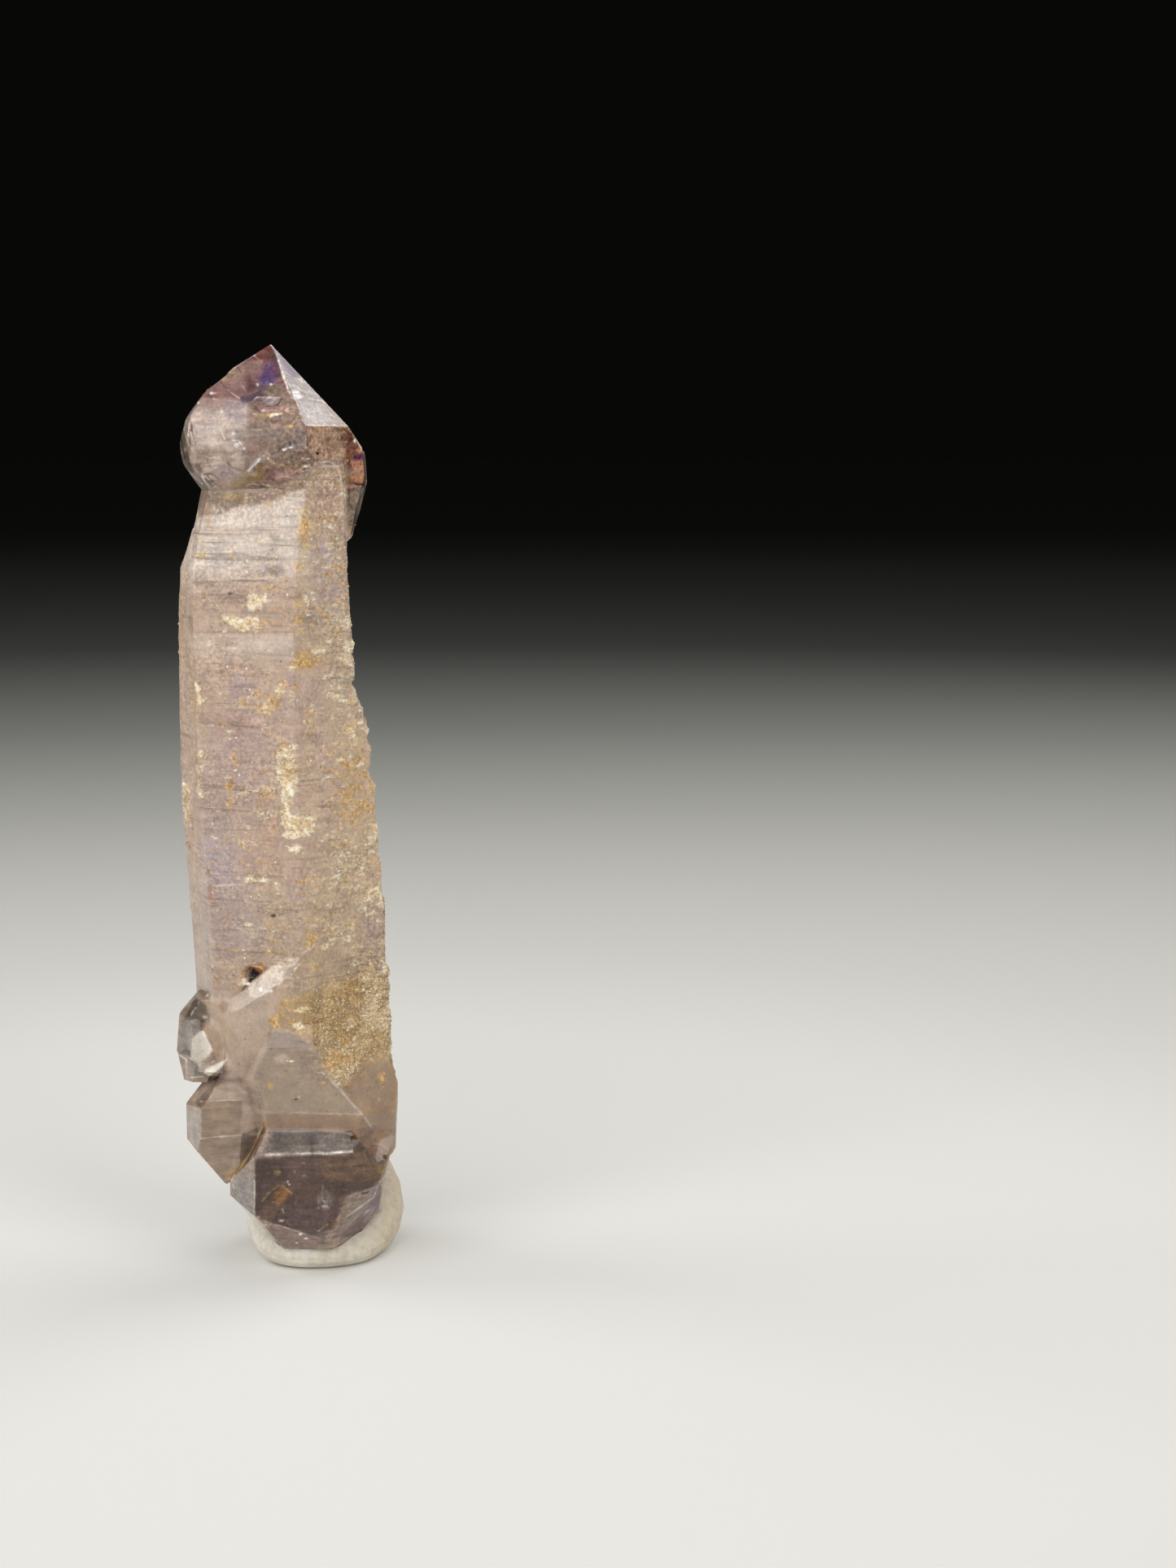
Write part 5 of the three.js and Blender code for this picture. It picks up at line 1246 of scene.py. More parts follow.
def build_fields(p, n):
    """All that is known about each vertex, as arrays by name. Most run from 0 to 1.

    shown is 1 where the marks are seen from the front. grain and even say how coarse and how calm the
    surface is. ragged and broken are noise for the edges of marks.
    """
    x, y, z = p.T
    f = regions(p, n)
    f["seen"] = seen_from_front(p)
    f["ragged"] = layers(p, 1.3, 31)
    f["broken"] = 0.5 + 0.5 * step(-0.4, 0.2, noise(p, 0.8, 67))
    facing = np.einsum("ij,ij->i", n, (EYE - p) / np.linalg.norm(EYE - p, axis=1)[:, None])
    f["shown"] = step(0.0, 0.1, facing) * step(*MARKS_FADE, y)
    iron, cream = stains(f["seen"], f["shown"], f["ragged"])
    hidden = 1 - f["shown"]
    wide = layers(p * [1.0, 1.0, 0.6], 6.0, 77, 4)
    other = layers(p * [1.0, 1.0, 0.6], 5.0, 91, 4)
    iron = np.maximum(iron, hidden * f["plain"] * step(0.1, 0.45, wide) * 0.8)
    cream = np.maximum(cream, hidden * f["plain"] * step(0.12, 0.45, other) * 0.8)
    crusty = f["turned"] * step(0.0, 0.6, x / 9.0 + 0.4 * f["ragged"])
    crusty = np.maximum(crusty, f["plain"] * hidden * step(0.0, 0.4, wide))
    lowest = DRUSE_END + DRUSE_END_RISE * step(*DRUSE_RISES, x) + 0.8 * f["ragged"]
    druse = f["turned"] * step(*DRUSE_BELOW, z + f["ragged"]) * step(*DRUSE_RIGHT_OF, x + f["ragged"])
    druse = druse * step(-1.3, 1.3, z - lowest + f["ragged"])
    below = step(1.0, -1.0, z - lowest)
    f["druse"] = druse
    f["grain"] = np.clip(np.maximum(crusty * (1 - below), druse), 0, 1)
    calm = step(*CALM_BELOW, z) * step(*CALM_LEFT_OF, x) + below
    f["even"] = np.clip(f["plain"] * calm * (1 - druse) + f["smoky"] + f["littles"] + f["foot"], 0, 1)
    lively = f["plain"] * (1 - 0.8 * f["even"])
    right = f["turned"] * step(-2.0, 8.0, x)
    f["iron"] = np.maximum(iron, lively * (0.46 + 0.34 * noise(p, 5.0, 43)) * (0.6 + 0.3 * right))
    f["cream"] = np.maximum(cream, lively * (0.34 + 0.3 * noise(p, 4.0, 53)) * (0.7 + 0.6 * right))
    return f


# How see-through each part is, and how much brighter it is painted to make up for the light it lets through
CLEARNESS = {"plain": 0.05, "head": 0.45, "smoky": 0.35, "littles": 0.5, "foot": 0.4}
GAINS = {"head": 1.18, "smoky": 1.22, "littles": 1.15, "strip": 1.2, "front": 1.1}


def stem_color(p, f):
    """The stem's own colour: lilac and sandy patches, the crust's tones and the streaked left strip."""
    z = p[:, 2]
    turned, druse, strip = f["turned"], f["druse"], f["strip"]
    low = layers(p, [8.0, 8.0, 14.0], 3)
    color = np.tile(COLORS["stem"], (len(p), 1))
    color = blend(color, COLORS["stem_lilac"], step(-0.05, 0.45, noise(p, [6.0, 6.0, 11.0], 9)) * 0.6)
    color = blend(color, COLORS["stem_sand"], step(-0.1, 0.5, low + 0.4 * turned) * 0.7)
    color = blend(color, COLORS["stem_low_right"], turned * step(50.0, 34.0, z) * 0.8)
    color = blend(color, COLORS["stem_low_left"], (1 - turned) * step(60.0, 42.0, z) * 0.5)
    patches = layers(p, 2.6, 83, 3)
    color = blend(color, COLORS["druse_dark"], druse * step(-0.2, 0.3, patches) * 0.7)
    color = blend(color, COLORS["druse_pale"], druse * step(0.0, -0.4, patches) * 0.6)
    lines = noise(p, [0.45, 0.45, 16.0], 61)
    color = blend(color, COLORS["strip"], strip * (0.55 + 0.4 * lines))
    return blend(color, COLORS["strip_low"], strip * step(60.0, 45.0, z) * (0.5 + 0.4 * lines))


def head_color(p):
    """The head's own colour: clear and beige below, then mauve and violet, and a brown tip."""
    z = p[:, 2]
    wild = layers(p, 2.6, 11)
    color = np.tile(COLORS["head_clear"], (len(p), 1))
    color = blend(color, COLORS["head_beige"], step(-0.1, 0.4, wild) * 0.7)
    color = blend(color, COLORS["mauve"], step(109.5, 112.5, z + 1.2 * wild) * 0.9)
    color = blend(color, COLORS["violet"], step(113.0, 116.0, z + 1.5 * wild) * 0.6)
    return blend(color, COLORS["tip_brown"], step(116.0, 117.6, z + 0.5 * wild) * 0.8)


def crystal_colors(p, f):
    """The colour of each vertex, and how see-through it is."""
    shown = f["shown"]
    stem, stem_veil_and_glint = painted(stem_color(p, f), STEM_MARKS, f, shown * (1 - f["head"]))
    head, head_veil_and_glint = painted(head_color(p), HEAD_MARKS, f, shown)
    amount = f["head"][:, None]
    color = stem * (1 - amount) + head * amount
    color = blend(color, COLORS["smoky"], f["smoky"] * (1 - shown))
    color = blend(color, COLORS["little_bright"], f["littles"] * (1 - shown))
    color = blend(color, COLORS["foot_front"], f["foot"] * (1 - shown))
    color, foot_veil_and_glint = painted(color, FOOT_MARKS, f, shown)
    for place, gain in GAINS.items():
        color = color * (1 + (gain - 1) * f[place])[:, None]
    color = color * (1 + 0.1 * layers(p, 2.0, 19, 4)[:, None])
    # Pale veils and painted glints are less see-through
    veil_and_glint = np.maximum(foot_veil_and_glint, np.where(f["head"] > 0.5, head_veil_and_glint, stem_veil_and_glint))
    clear = sum(CLEARNESS[place] * f[place] for place in CLEARNESS) * (1 - 0.75 * veil_and_glint)
    return np.clip(color, 0.008, 0.95), np.clip(clear, 0, 1)


# Heights of the low steps of growth round the stem, and how far each stands out, in mm
GROWTH_STEPS = [(95.4, 0.12), (91.2, 0.08), (87.4, 0.06), (82.3, 0.06), (66.2, 0.07), (52.0, 0.06)]


def relief(p, f):
    """How far each vertex moves out along its normal, in mm."""
    z = p[:, 2]
    plain = f["plain"]
    out = 0.05 * layers(p, 6.0, 23) * plain
    flat = plain * (1 - f["turned"]) * (1 - f["grain"])
    out += 0.04 * noise(p, [9.0, 9.0, 1.1], 27) * flat
    out += 0.15 * f["grain"] * layers(p, 1.5, 37)
    crust = step(0.45, 0.85, np.maximum(f["cream"], 0.8 * f["iron"]) + 0.2 * f["ragged"]) * plain
    out += crust * (0.06 + 0.2 * np.abs(layers(p, 1.1, 39, 2)))
    for level, rise in GROWTH_STEPS:
        wavy = level + 0.4 * noise(p, [6.0, 6.0, 50.0], int(level))
        out += rise * step(wavy + 0.12, wavy - 0.12, z) * step(level - 3.0, level - 1.0, z) * flat
    out += 0.01 * layers(p, 3.0, 49, 2) * (1 - plain)
    return out


def coarse_reach(middles, lengths, front):
    """The longest edge wanted at each place before the marks are looked at, in mm."""
    near = np.where(middles[:, 2] > HEAD_MARKS_ABOVE, HEAD_EDGE, FRONT_EDGE)
    return np.where(front, near, HIDDEN_EDGE) * COARSE


def fine_reach(middles, lengths, front):
    """The longest edge wanted at each place once the marks are looked at, in mm."""
    return mark_edges(middles, lengths, front, coarse_reach(middles, lengths, front))


# The pit above the ledge and the broken corner right of the shoulder: x, z and how far they reach, in mm
PIT, PIT_REACH = (-7.2, 39.2), 2.6
CORNER, CORNER_REACH = (7.7, 15.3), 3.3


def crystal_box():
    """The low and the high corner of the CAD crystal's box, in mm."""
    return [np.array(corner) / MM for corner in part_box("amethyst_crystal")]


def worn(points):
    """How far the CAD's edges are rounded at each vertex, from 0 to 1.

    Rounded are the head's left rim, the stem's right edge, the slab with the little crystals and the
    pit's rim.
    """
    x, y, z = points.T
    left = step(-9.0, -12.0, x) * step(101.5, 103.5, z) * 0.5
    right = step(1.5, 3.5, x) * step(16.0, 19.0, z) * step(91.0, 89.0, z) * 0.5
    slab = step(-13.4, -12.6, x) * step(-8.6, -10.4, x) * step(26.8, 27.6, z) * step(37.5, 36.0, z)
    pit = step(3.4, PIT_REACH, np.hypot(x - PIT[0], 1.3 * (z - PIT[1]))) * step(-5.0, -6.5, y) * 0.8
    return np.max([left, right, pit, slab * step(-4.0, -5.0, y)], axis=0)


def settled(points):
    """Brings the slab's left end and the small crystal beside it back to the stem's own face."""
    x, y, z = points.T
    low = 31.9 - 4.4 * step(-12.6, -11.2, x)
    held = step(low, low + 0.8, z) * step(37.6, 36.6, z) * step(-8.4, -9.0, x) * step(-16.4, -15.8, x)
    limit = np.minimum(-6.3, -6.3 - 0.75 * (x + 13.0))
    return np.stack([x, y + held * np.maximum(0.0, limit - y), z], 1)


def hollow_places(points):
    """The pit and the broken corner, which don't shine."""
    x, y, z = points.T
    from_pit = np.hypot(x - PIT[0], z - PIT[1])
    from_corner = np.hypot(x - CORNER[0], z - CORNER[1])
    pit = step(PIT_REACH, PIT_REACH - 1.0, from_pit) * step(-5.0, -6.0, y)
    corner = step(CORNER_REACH, CORNER_REACH - 0.6, from_corner) * step(0.0, -1.0, y)
    return np.maximum(pit, corner)


def fine_crystal():
    """The CAD crystal cut finer, worn, roughened and painted, with the arrays that the grains need."""
    points, faces = arrays_of(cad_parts["amethyst_crystal"])
    points, faces = refine(points, faces, coarse_reach)
    points = settled(points)
    points = soften(points, faces, 0.6 * worn(points), 12)
    points, faces = refine(points, faces, fine_reach)
    normals = normals_of(points, faces)
    f = build_fields(points, normals)
    moved = points + normals * relief(points, f)[:, None]
    moved = np.clip(moved, *crystal_box())
    obj = mesh_object("crystal_surface", moved, faces, CRYSTAL_SHARP)
    color, clear = crystal_colors(points, f)
    give(obj, "tint", color)
    give(obj, "clear", clear)
    for name in ("iron", "cream", "grain", "even", "foot"):
        give(obj, name, f[name])
    neck = 0.35 * f["plain"] * step(95.0, 98.0, moved[:, 2])
    web = f["head"] * (0.35 + 0.65 * step(-7.0, -4.0, moved[:, 0])) + 0.5 * f["foot"] + neck
    give(obj, "web", web)
    give(obj, "hollow", hollow_places(moved))
    return obj, moved, normals, faces, f, color


# Grains of crust

# An eight-sided grain, a little taller than it is wide
GRAIN_SHAPE = np.array([(1, 0, 0), (0, 1, 0), (-1, 0, 0), (0, -1, 0), (0, 0, 1.25), (0, 0, -1.25)])
GRAIN_FACES = np.array(
    [(0, 1, 4), (1, 2, 4), (2, 3, 4), (3, 0, 4), (1, 0, 5), (2, 1, 5), (3, 2, 5), (0, 3, 5)]
)
LEAST_GRAIN, GRAIN_SPREAD = 0.06, 0.12
GRAIN_COUNT = 8500


def random_turns(rng, count):
    """Random rotation matrices from unit quaternions."""
    w, x, y, z = (q := rng.normal(size=(count, 4))).T / np.linalg.norm(q, axis=1)
    rows = [
        [1 - 2 * (y * y + z * z), 2 * (x * y - z * w), 2 * (x * z + y * w)],
        [2 * (x * y + z * w), 1 - 2 * (x * x + z * z), 2 * (y * z - x * w)],
        [2 * (x * z - y * w), 2 * (y * z + x * w), 1 - 2 * (x * x + y * y)],
    ]
    return np.array(rows).transpose(2, 0, 1)


def make_grains(points, normals, faces, f, color, count=GRAIN_COUNT):
    """Tiny quartz crystals set in the crust, where it is thick."""
    rng = np.random.RandomState(21)

    def at_grains(values):
        return np.einsum("ij,ij->i", share, values[faces[chosen]])

    a, b, c = points[faces[:, 0]], points[faces[:, 1]], points[faces[:, 2]]
    extent = np.linalg.norm(np.cross(b - a, c - a), axis=1)
    thick = 0.8 * step(0.4, 0.95, f["cream"]) + 0.5 * step(0.5, 1.0, f["iron"])
    thick = thick + 0.25 * f["grain"] + 0.2 * f["druse"]
    thick = f["plain"] * thick * (1 - 0.9 * f["even"])
    weight = extent * thick[faces].mean(1)
    chosen = rng.choice(len(faces), count, p=weight / weight.sum())
    share = rng.dirichlet((1, 1, 1), count)
    middle = np.einsum("ij,ijk->ik", share, points[faces[chosen]])
    outward = np.einsum("ij,ijk->ik", share, normals[faces[chosen]])
    size = LEAST_GRAIN + GRAIN_SPREAD * rng.beta(1.4, 3.0, count)
    size = size * (1 + 0.8 * at_grains(f["druse"]))
    middle = middle + outward * (size * 0.1)[:, None]
    stretch = rng.uniform(0.7, 1.3, (count, 1, 3))
    shape = GRAIN_SHAPE[None] * stretch * size[:, None, None]
    corners = np.einsum("nij,nkj->nki", random_turns(rng, count), shape) + middle[:, None]
    corners = np.clip(corners.reshape(-1, 3), *crystal_box())
    triangles = (GRAIN_FACES[None] + 6 * np.arange(count)[:, None, None]).reshape(-1, 3)
    obj = mesh_object("crust_grains", corners, triangles)
    base = np.einsum("ij,ijk->ik", share, color[faces[chosen]])
    pale = 0.35 + 0.65 * step(0.3, 0.8, at_grains(f["cream"]))
    stained = step(0.3, 0.9, at_grains(f["iron"]))
    tone = blend(base * 1.2, COLORS["grain_pale"], rng.uniform(0.0, 0.9, count) * pale)
    tone = blend(tone, COLORS["grain_iron"], stained * rng.uniform(0.2, 1.0, count) * 0.8)
    give(obj, "tint", np.clip(np.repeat(tone, 6, axis=0), 0.02, 0.95))
    return obj


# Materials


class Nodes:
    """A short way to write a material's nodes."""

    def __init__(self, name):
        self.material = bpy.data.materials.new(name)
        self.material.use_nodes = True
        self.tree = self.material.node_tree
        self.tree.nodes.clear()

    def add(self, kind, values=None, links=None, **settings):
        node = self.tree.nodes.new(kind)
        for key, value in settings.items():
            setattr(node, key, value)
        for key, value in (values or {}).items():
            node.inputs[key].default_value = value
        for key, source in (links or {}).items():
            self.tree.links.new(source, node.inputs[key])
        return node

    def set(self, socket, value):
        """Gives a socket a number, a colour, or the output of another node."""
        if isinstance(value, (int, float)):
            socket.default_value = value
        elif isinstance(value, tuple):
            socket.default_value = (*value, 1.0)
        else:
            self.tree.links.new(value, socket)

    def math(self, operation, a, b=0.0, clamp=False):
        node = self.add("ShaderNodeMath", operation=operation, use_clamp=clamp)
        self.set(node.inputs[0], a)
        self.set(node.inputs[1], b)
        return node.outputs[0]

    def times(self, first, *others):
        """The product of all factors, taken from left to right."""
        for other in others:
            first = self.math("MULTIPLY", first, other)
        return first

    def mix(self, a, b, amount, blend_type="MIX"):
        """Colour a with colour b laid over it as far as the amount says."""
        node = self.add("ShaderNodeMix", data_type="RGBA", blend_type=blend_type, clamp_factor=True)
        self.set(node.inputs[0], amount)
        self.set(node.inputs[6], a)
        self.set(node.inputs[7], b)
        return node.outputs[2]

    def shade(self, color, tones, amount):
        """The colour multiplied by the tones as far as the amount says."""
        return self.mix(color, tones, amount, "MULTIPLY")

    def smooth(self, value, low, high, to_low=0.0, to_high=1.0):
        """A smooth step from to_low where the value is low to to_high where it is high."""
        node = self.add("ShaderNodeMapRange", interpolation_type="SMOOTHSTEP", clamp=True)
        for index, number in enumerate((value, low, high, to_low, to_high)):
            self.set(node.inputs[index], number)
        return node.outputs[0]

    def ramp(self, source, stops):
        """A colour, or a grey, between the stops, which are pairs of a place and a tone."""
        node = self.add("ShaderNodeValToRGB", links={0: source})
        elements = node.color_ramp.elements
        while len(elements) < len(stops):
            elements.new(0.5)
        for element, (position, value) in zip(elements, stops):
            element.position = position
            element.color = (*value, 1.0) if isinstance(value, tuple) else (value, value, value, 1.0)
        return node.outputs[0]

    def noise(self, place, scale, detail=3.0, rough=0.55):
        """Noise from 0 to 1 with so many waves to the metre."""
        values = {"Scale": scale, "Detail": detail, "Roughness": rough}
        return self.add("ShaderNodeTexNoise", values, {"Vector": place}).outputs[0]

    def cells(self, place, scale):
        """Distance to the middle of the nearest cell, and one random number for each cell."""
        node = self.add("ShaderNodeTexVoronoi", {"Scale": scale}, {"Vector": place})
        split = self.add("ShaderNodeSeparateColor", links={0: node.outputs["Color"]})
        return node.outputs["Distance"], split.outputs[0]

    def dots(self, place, scale, radius, share):
        """Small round dots in a share of the cells."""
        away, pick = self.cells(place, scale)
        return self.times(self.smooth(away, radius, radius * 0.5), self.math("LESS_THAN", pick, share))

    def place(self, scale=(1.0, 1.0, 1.0), turn=(0.0, 0.0, 0.0)):
        """Places on the object in m. A scale below 1 draws a pattern out along that axis."""
        coords = self.add("ShaderNodeTexCoord").outputs["Object"]
        values = {"Scale": scale, "Rotation": turn}
        return self.add("ShaderNodeMapping", values, {"Vector": coords}).outputs[0]

    def bump(self, height, strength, distance):
        """Normals bent by a height; the distance is in m."""
        values = {"Strength": strength, "Distance": distance}
        return self.add("ShaderNodeBump", values, {"Height": height}).outputs[0]

    def attribute(self, name, output="Fac"):
        return self.add("ShaderNodeAttribute", attribute_name=name).outputs[output]

    def finish(self, shader, volume=None):
        out = self.add("ShaderNodeOutputMaterial", links={"Surface": shader.outputs[0]})
        if volume is not None:
            self.tree.links.new(volume.outputs[0], out.inputs["Volume"])
        return self.material


QUARTZ_IOR = 1.544
QUARTZ_ABSORPTION = {"Color": (0.55, 0.34, 0.36, 1.0), "Density": 14.0}
QUARTZ_SUBSURFACE = {
    "Subsurface Weight": 0.15, "Subsurface Radius": (0.002, 0.0016, 0.0013), "Subsurface Scale": 1.0
}


def tones_of(*stops):
    """Stops of a ramp: pairs of a place and the name of a colour."""
    return [(place, COLORS[name]) for place, name in stops]


def crystal_material():
    """Quartz: plain transmission, IOR and absorption, under a surface that is crusted by place."""
    m = Nodes("quartz")
    clear, grain, calm, web = (m.attribute(name) for name in ("clear", "grain", "even", "web"))
    lively = m.math("SUBTRACT", 1.0, m.times(calm, 0.6))
    dull = m.math("SUBTRACT", 1.0, m.smooth(clear, 0.08, 0.25))
    even = m.place()
    wide = m.smooth(m.noise(even, 150.0, 2.0), 0.38, 0.62, 0.45, 1.1)
    rich = m.times(dull, lively, wide)
    fine = m.noise(even, 2300.0, 3.0, 0.6)
    medium = m.noise(even, 520.0, 4.0, 0.6)
    lying = m.noise(m.place((0.16, 0.16, 1.0)), 1700.0, 3.0, 0.6)
    # Fine unevenness of tone, warmer where it is paler
    color = m.attribute("tint", "Vector")
    grit = m.ramp(fine, [(0.3, (0.72, 0.68, 0.7)), (0.5, (0.99, 0.99, 0.99)), (0.7, (1.36, 1.3, 1.16))])
    color = m.shade(color, grit, m.math("ADD", 0.2, m.times(rich, 0.7)))
    clouds = m.ramp(medium, [(0.3, (0.84, 0.82, 0.84)), (0.7, (1.16, 1.15, 1.1))])
    color = m.shade(color, clouds, 0.8)
    streak = m.ramp(lying, [(0.35, (0.82, 0.79, 0.79)), (0.65, (1.17, 1.16, 1.12))])
    banded = m.times(m.attribute("foot"), 0.8)
    color = m.shade(color, streak, m.math("MAXIMUM", m.times(rich, 0.75), banded))
    scratch = m.smooth(m.noise(m.place((0.05, 0.05, 1.0)), 1500.0, 2.0, 0.5), 0.6, 0.7)
    color = m.mix(color, COLORS["striation"], m.times(scratch, rich, 0.5))
    # The mottled inside of the clear head
    mottle = [(0.34, (0.5, 0.38, 0.36)), (0.48, (0.97, 0.95, 0.95)), (0.66, (1.62, 1.56, 1.54))]
    color = m.shade(color, m.ramp(m.noise(even, 2300.0, 3.0, 0.65), mottle), m.times(web, 0.8))
    veils = m.noise(m.place((0.22, 0.22, 1.0), (0.0, 0.25, 0.0)), 1500.0, 4.0, 0.7)
    veils = m.ramp(veils, [(0.36, (0.78, 0.76, 0.76)), (0.5, 1.0), (0.66, (1.36, 1.34, 1.34))])
    color = m.shade(color, veils, m.times(m.smooth(clear, 0.1, 0.3), 0.7))
    # Coarse grains of the crust, each with its own tone
    _, tone = m.cells(even, 2400.0)
    grains = m.ramp(tone, [(0.0, (0.62, 0.58, 0.52)), (0.8, (1.05, 1.05, 1.02)), (1.0, (1.6, 1.6, 1.55))])
    color = m.shade(color, grains, m.times(grain, 0.6, wide))
    # Iron stain and cream crust with broken edges
    broken = m.noise(m.place((0.4, 0.4, 1.0)), 1500.0, 5.0, 0.72)
    edge = m.times(m.math("SUBTRACT", broken, 0.5), 3.0)
    iron = m.smooth(m.math("ADD", m.attribute("iron"), edge), 0.42, 0.85)
    gold = m.ramp(fine, tones_of((0.32, "iron_dark"), (0.5, "iron"), (0.68, "iron_pale")))
    color = m.mix(color, gold, m.times(iron, 0.78))
    other = m.noise(m.place((0.45, 0.45, 1.0), (0.5, 0.2, 0.1)), 1300.0, 5.0, 0.72)
    other = m.times(m.math("SUBTRACT", other, 0.5), 2.6)
    cream = m.smooth(m.math("ADD", m.attribute("cream"), other), 0.42, 0.95)
    cream = m.times(cream, m.math("SUBTRACT", 1.0, m.times(iron, 0.4)))
    pale = m.ramp(fine, tones_of((0.36, "crust_dark"), (0.48, "crust"), (0.6, "crust_pale")))
    color = m.mix(color, pale, m.times(cream, 0.95))
    # Dark specks where there is no crust, and pale flecks
    specks = m.times(m.dots(even, 1100.0, 0.2, 0.12), m.math("SUBTRACT", 1.0, cream))
    color = m.mix(color, COLORS["speck"], m.times(dull, 0.6, specks))
    flecks = m.dots(m.place(turn=(0.3, 0.8, 0.5)), 1200.0, 0.22, 0.16)
    color = m.mix(color, COLORS["fleck"], m.times(rich, 0.75, flecks))
    # Clearness, roughness and the height of the grit
    shown = m.times(clear, m.smooth(medium, 0.35, 0.75, 1.0, 0.75))
    rough = m.math("ADD", m.times(dull, 0.27), m.smooth(medium, 0.3, 0.7, 0.03, 0.12))
    rough = m.math("ADD", rough, m.times(m.attribute("hollow"), 0.6))
    height = m.math("ADD", m.times(fine, m.math("ADD", grain, 0.5)), m.times(lying, 0.5))
    height = m.math("ADD", height, m.times(cream, 0.8))
    height = m.math("ADD", height, m.times(tone, grain, 0.6))
    shader = m.add(
        "ShaderNodeBsdfPrincipled",
        {"IOR": QUARTZ_IOR, **QUARTZ_SUBSURFACE},
        {
            "Base Color": color,
            "Roughness": rough,
            "Transmission Weight": shown,
            "Normal": m.bump(m.times(height, rich), 0.8, 0.0002),
        },
    )
    return m.finish(shader, m.add("ShaderNodeVolumeAbsorption", QUARTZ_ABSORPTION))


def grain_material():
    """The crust's grains, in their own tones and hardly see-through."""
    m = Nodes("quartz_grains")
    clouds = m.ramp(m.noise(m.place(), 1800.0), [(0.3, 0.8), (0.7, 1.15)])
    shader = m.add(
        "ShaderNodeBsdfPrincipled",
        {"IOR": QUARTZ_IOR, "Roughness": 0.22, "Transmission Weight": 0.1},
        {"Base Color": m.shade(m.attribute("tint", "Vector"), clouds, 0.6)},
    )
    return m.finish(shader)


def putty_material():
    """Off-white putty, browner at the right, with worn tones and a few specks."""
    m = Nodes("putty")
    even = m.place()
    wide = m.noise(even, 140.0, 4.0)
    color = m.mix(COLORS["putty"], COLORS["putty_dark"], m.smooth(wide, 0.35, 0.65))
    across = m.add("ShaderNodeSeparateXYZ", links={0: even}).outputs[0]
    color = m.mix(color, COLORS["putty_right"], m.smooth(across, 0.005, 0.01))
    worn_tones = [(0.34, (0.8, 0.79, 0.76)), (0.5, 1.0), (0.66, 1.12)]
    color = m.shade(color, m.ramp(m.noise(even, 900.0, 4.0, 0.65), worn_tones), 0.8)
    specks = m.math("ADD", m.dots(even, 420.0, 0.1, 0.1), m.dots(even, 1100.0, 0.16, 0.06))
    color = m.mix(color, COLORS["putty_speck"], m.times(specks, 0.7))
    height = m.math("ADD", m.noise(even, 300.0, 4.0), m.times(m.noise(even, 1300.0, 3.0), 0.35))
    shader = m.add(
        "ShaderNodeBsdfPrincipled",
        {"Subsurface Weight": 0.2, "Subsurface Radius": (0.002, 0.0016, 0.0012), "Subsurface Scale": 1.0},
        {
            "Base Color": color,
            "Roughness": m.smooth(wide, 0.0, 1.0, 0.5, 0.75),
            "Normal": m.bump(height, 0.7, 0.0005),
        },
    )
    return m.finish(shader)


# How bright the floor is painted at each distance from the object, in metres: a painted pool of light that
# fades to dark
FLOOR_PAINTED_FALLOFF = [
    (0.0, (0.785, 0.775, 0.745)),
    (0.12, (0.74, 0.73, 0.69)),
    (0.19, (0.635, 0.625, 0.585)),
    (0.4, (0.43, 0.425, 0.395)),
    (0.6, (0.28, 0.28, 0.26)),
    (1.0, (0.122, 0.122, 0.114)),
    (1.9, (0.12, 0.12, 0.11)),
    (3.0, (0.022, 0.022, 0.02)),
]
FLOOR_REACH = FLOOR_PAINTED_FALLOFF[-1][0]
# The room's dim light, for the world, and also the floor's faint painted glow, so that the far floor matches
# the background
ROOM_LIGHT_AND_FLOOR_GLOW = (0.0025, 0.0028, 0.0022, 1.0)


def floor_material():
    """A matte floor with a painted pool of light that darkens away from the object, and a faint painted glow
    as dim as the room's light.
    """
    m = Nodes("floor_painted_falloff")
    place = m.add("ShaderNodeTexCoord").outputs["Object"]
    split = m.add("ShaderNodeSeparateXYZ", links={0: place}).outputs
    squared = m.math("ADD", m.times(split[0], split[0]), m.times(split[1], split[1]))
    radius = m.times(m.math("SQRT", squared), 1.0 / FLOOR_REACH)
    shade = m.ramp(radius, [(distance / FLOOR_REACH, color) for distance, color in FLOOR_PAINTED_FALLOFF])
    shader = m.add(
        "ShaderNodeBsdfPrincipled",
        {
            "Roughness": 0.9,
            "Specular IOR Level": 0.1,
            "Emission Color": ROOM_LIGHT_AND_FLOOR_GLOW,
            "Emission Strength": 1.0,
        },
        {"Base Color": shade},
    )
    return m.finish(shader)


# The putty

PUTTY_MIDDLE = (0.3, 0.2)
PUTTY_RADIUS = 10.62
# The lump's outline from the floor to its top: shares of its height, and of its radius there
PUTTY_HEIGHTS = [0.0, 0.08, 0.24, 0.42, 0.64, 0.84, 0.96, 1.0]
PUTTY_REACH = [0.8, 0.89, 0.97, 1.0, 0.97, 0.87, 0.72, 0.5]
# How much larger than the crystal the hollow pressed into the putty is, in mm
PRESS_GAP = 0.07


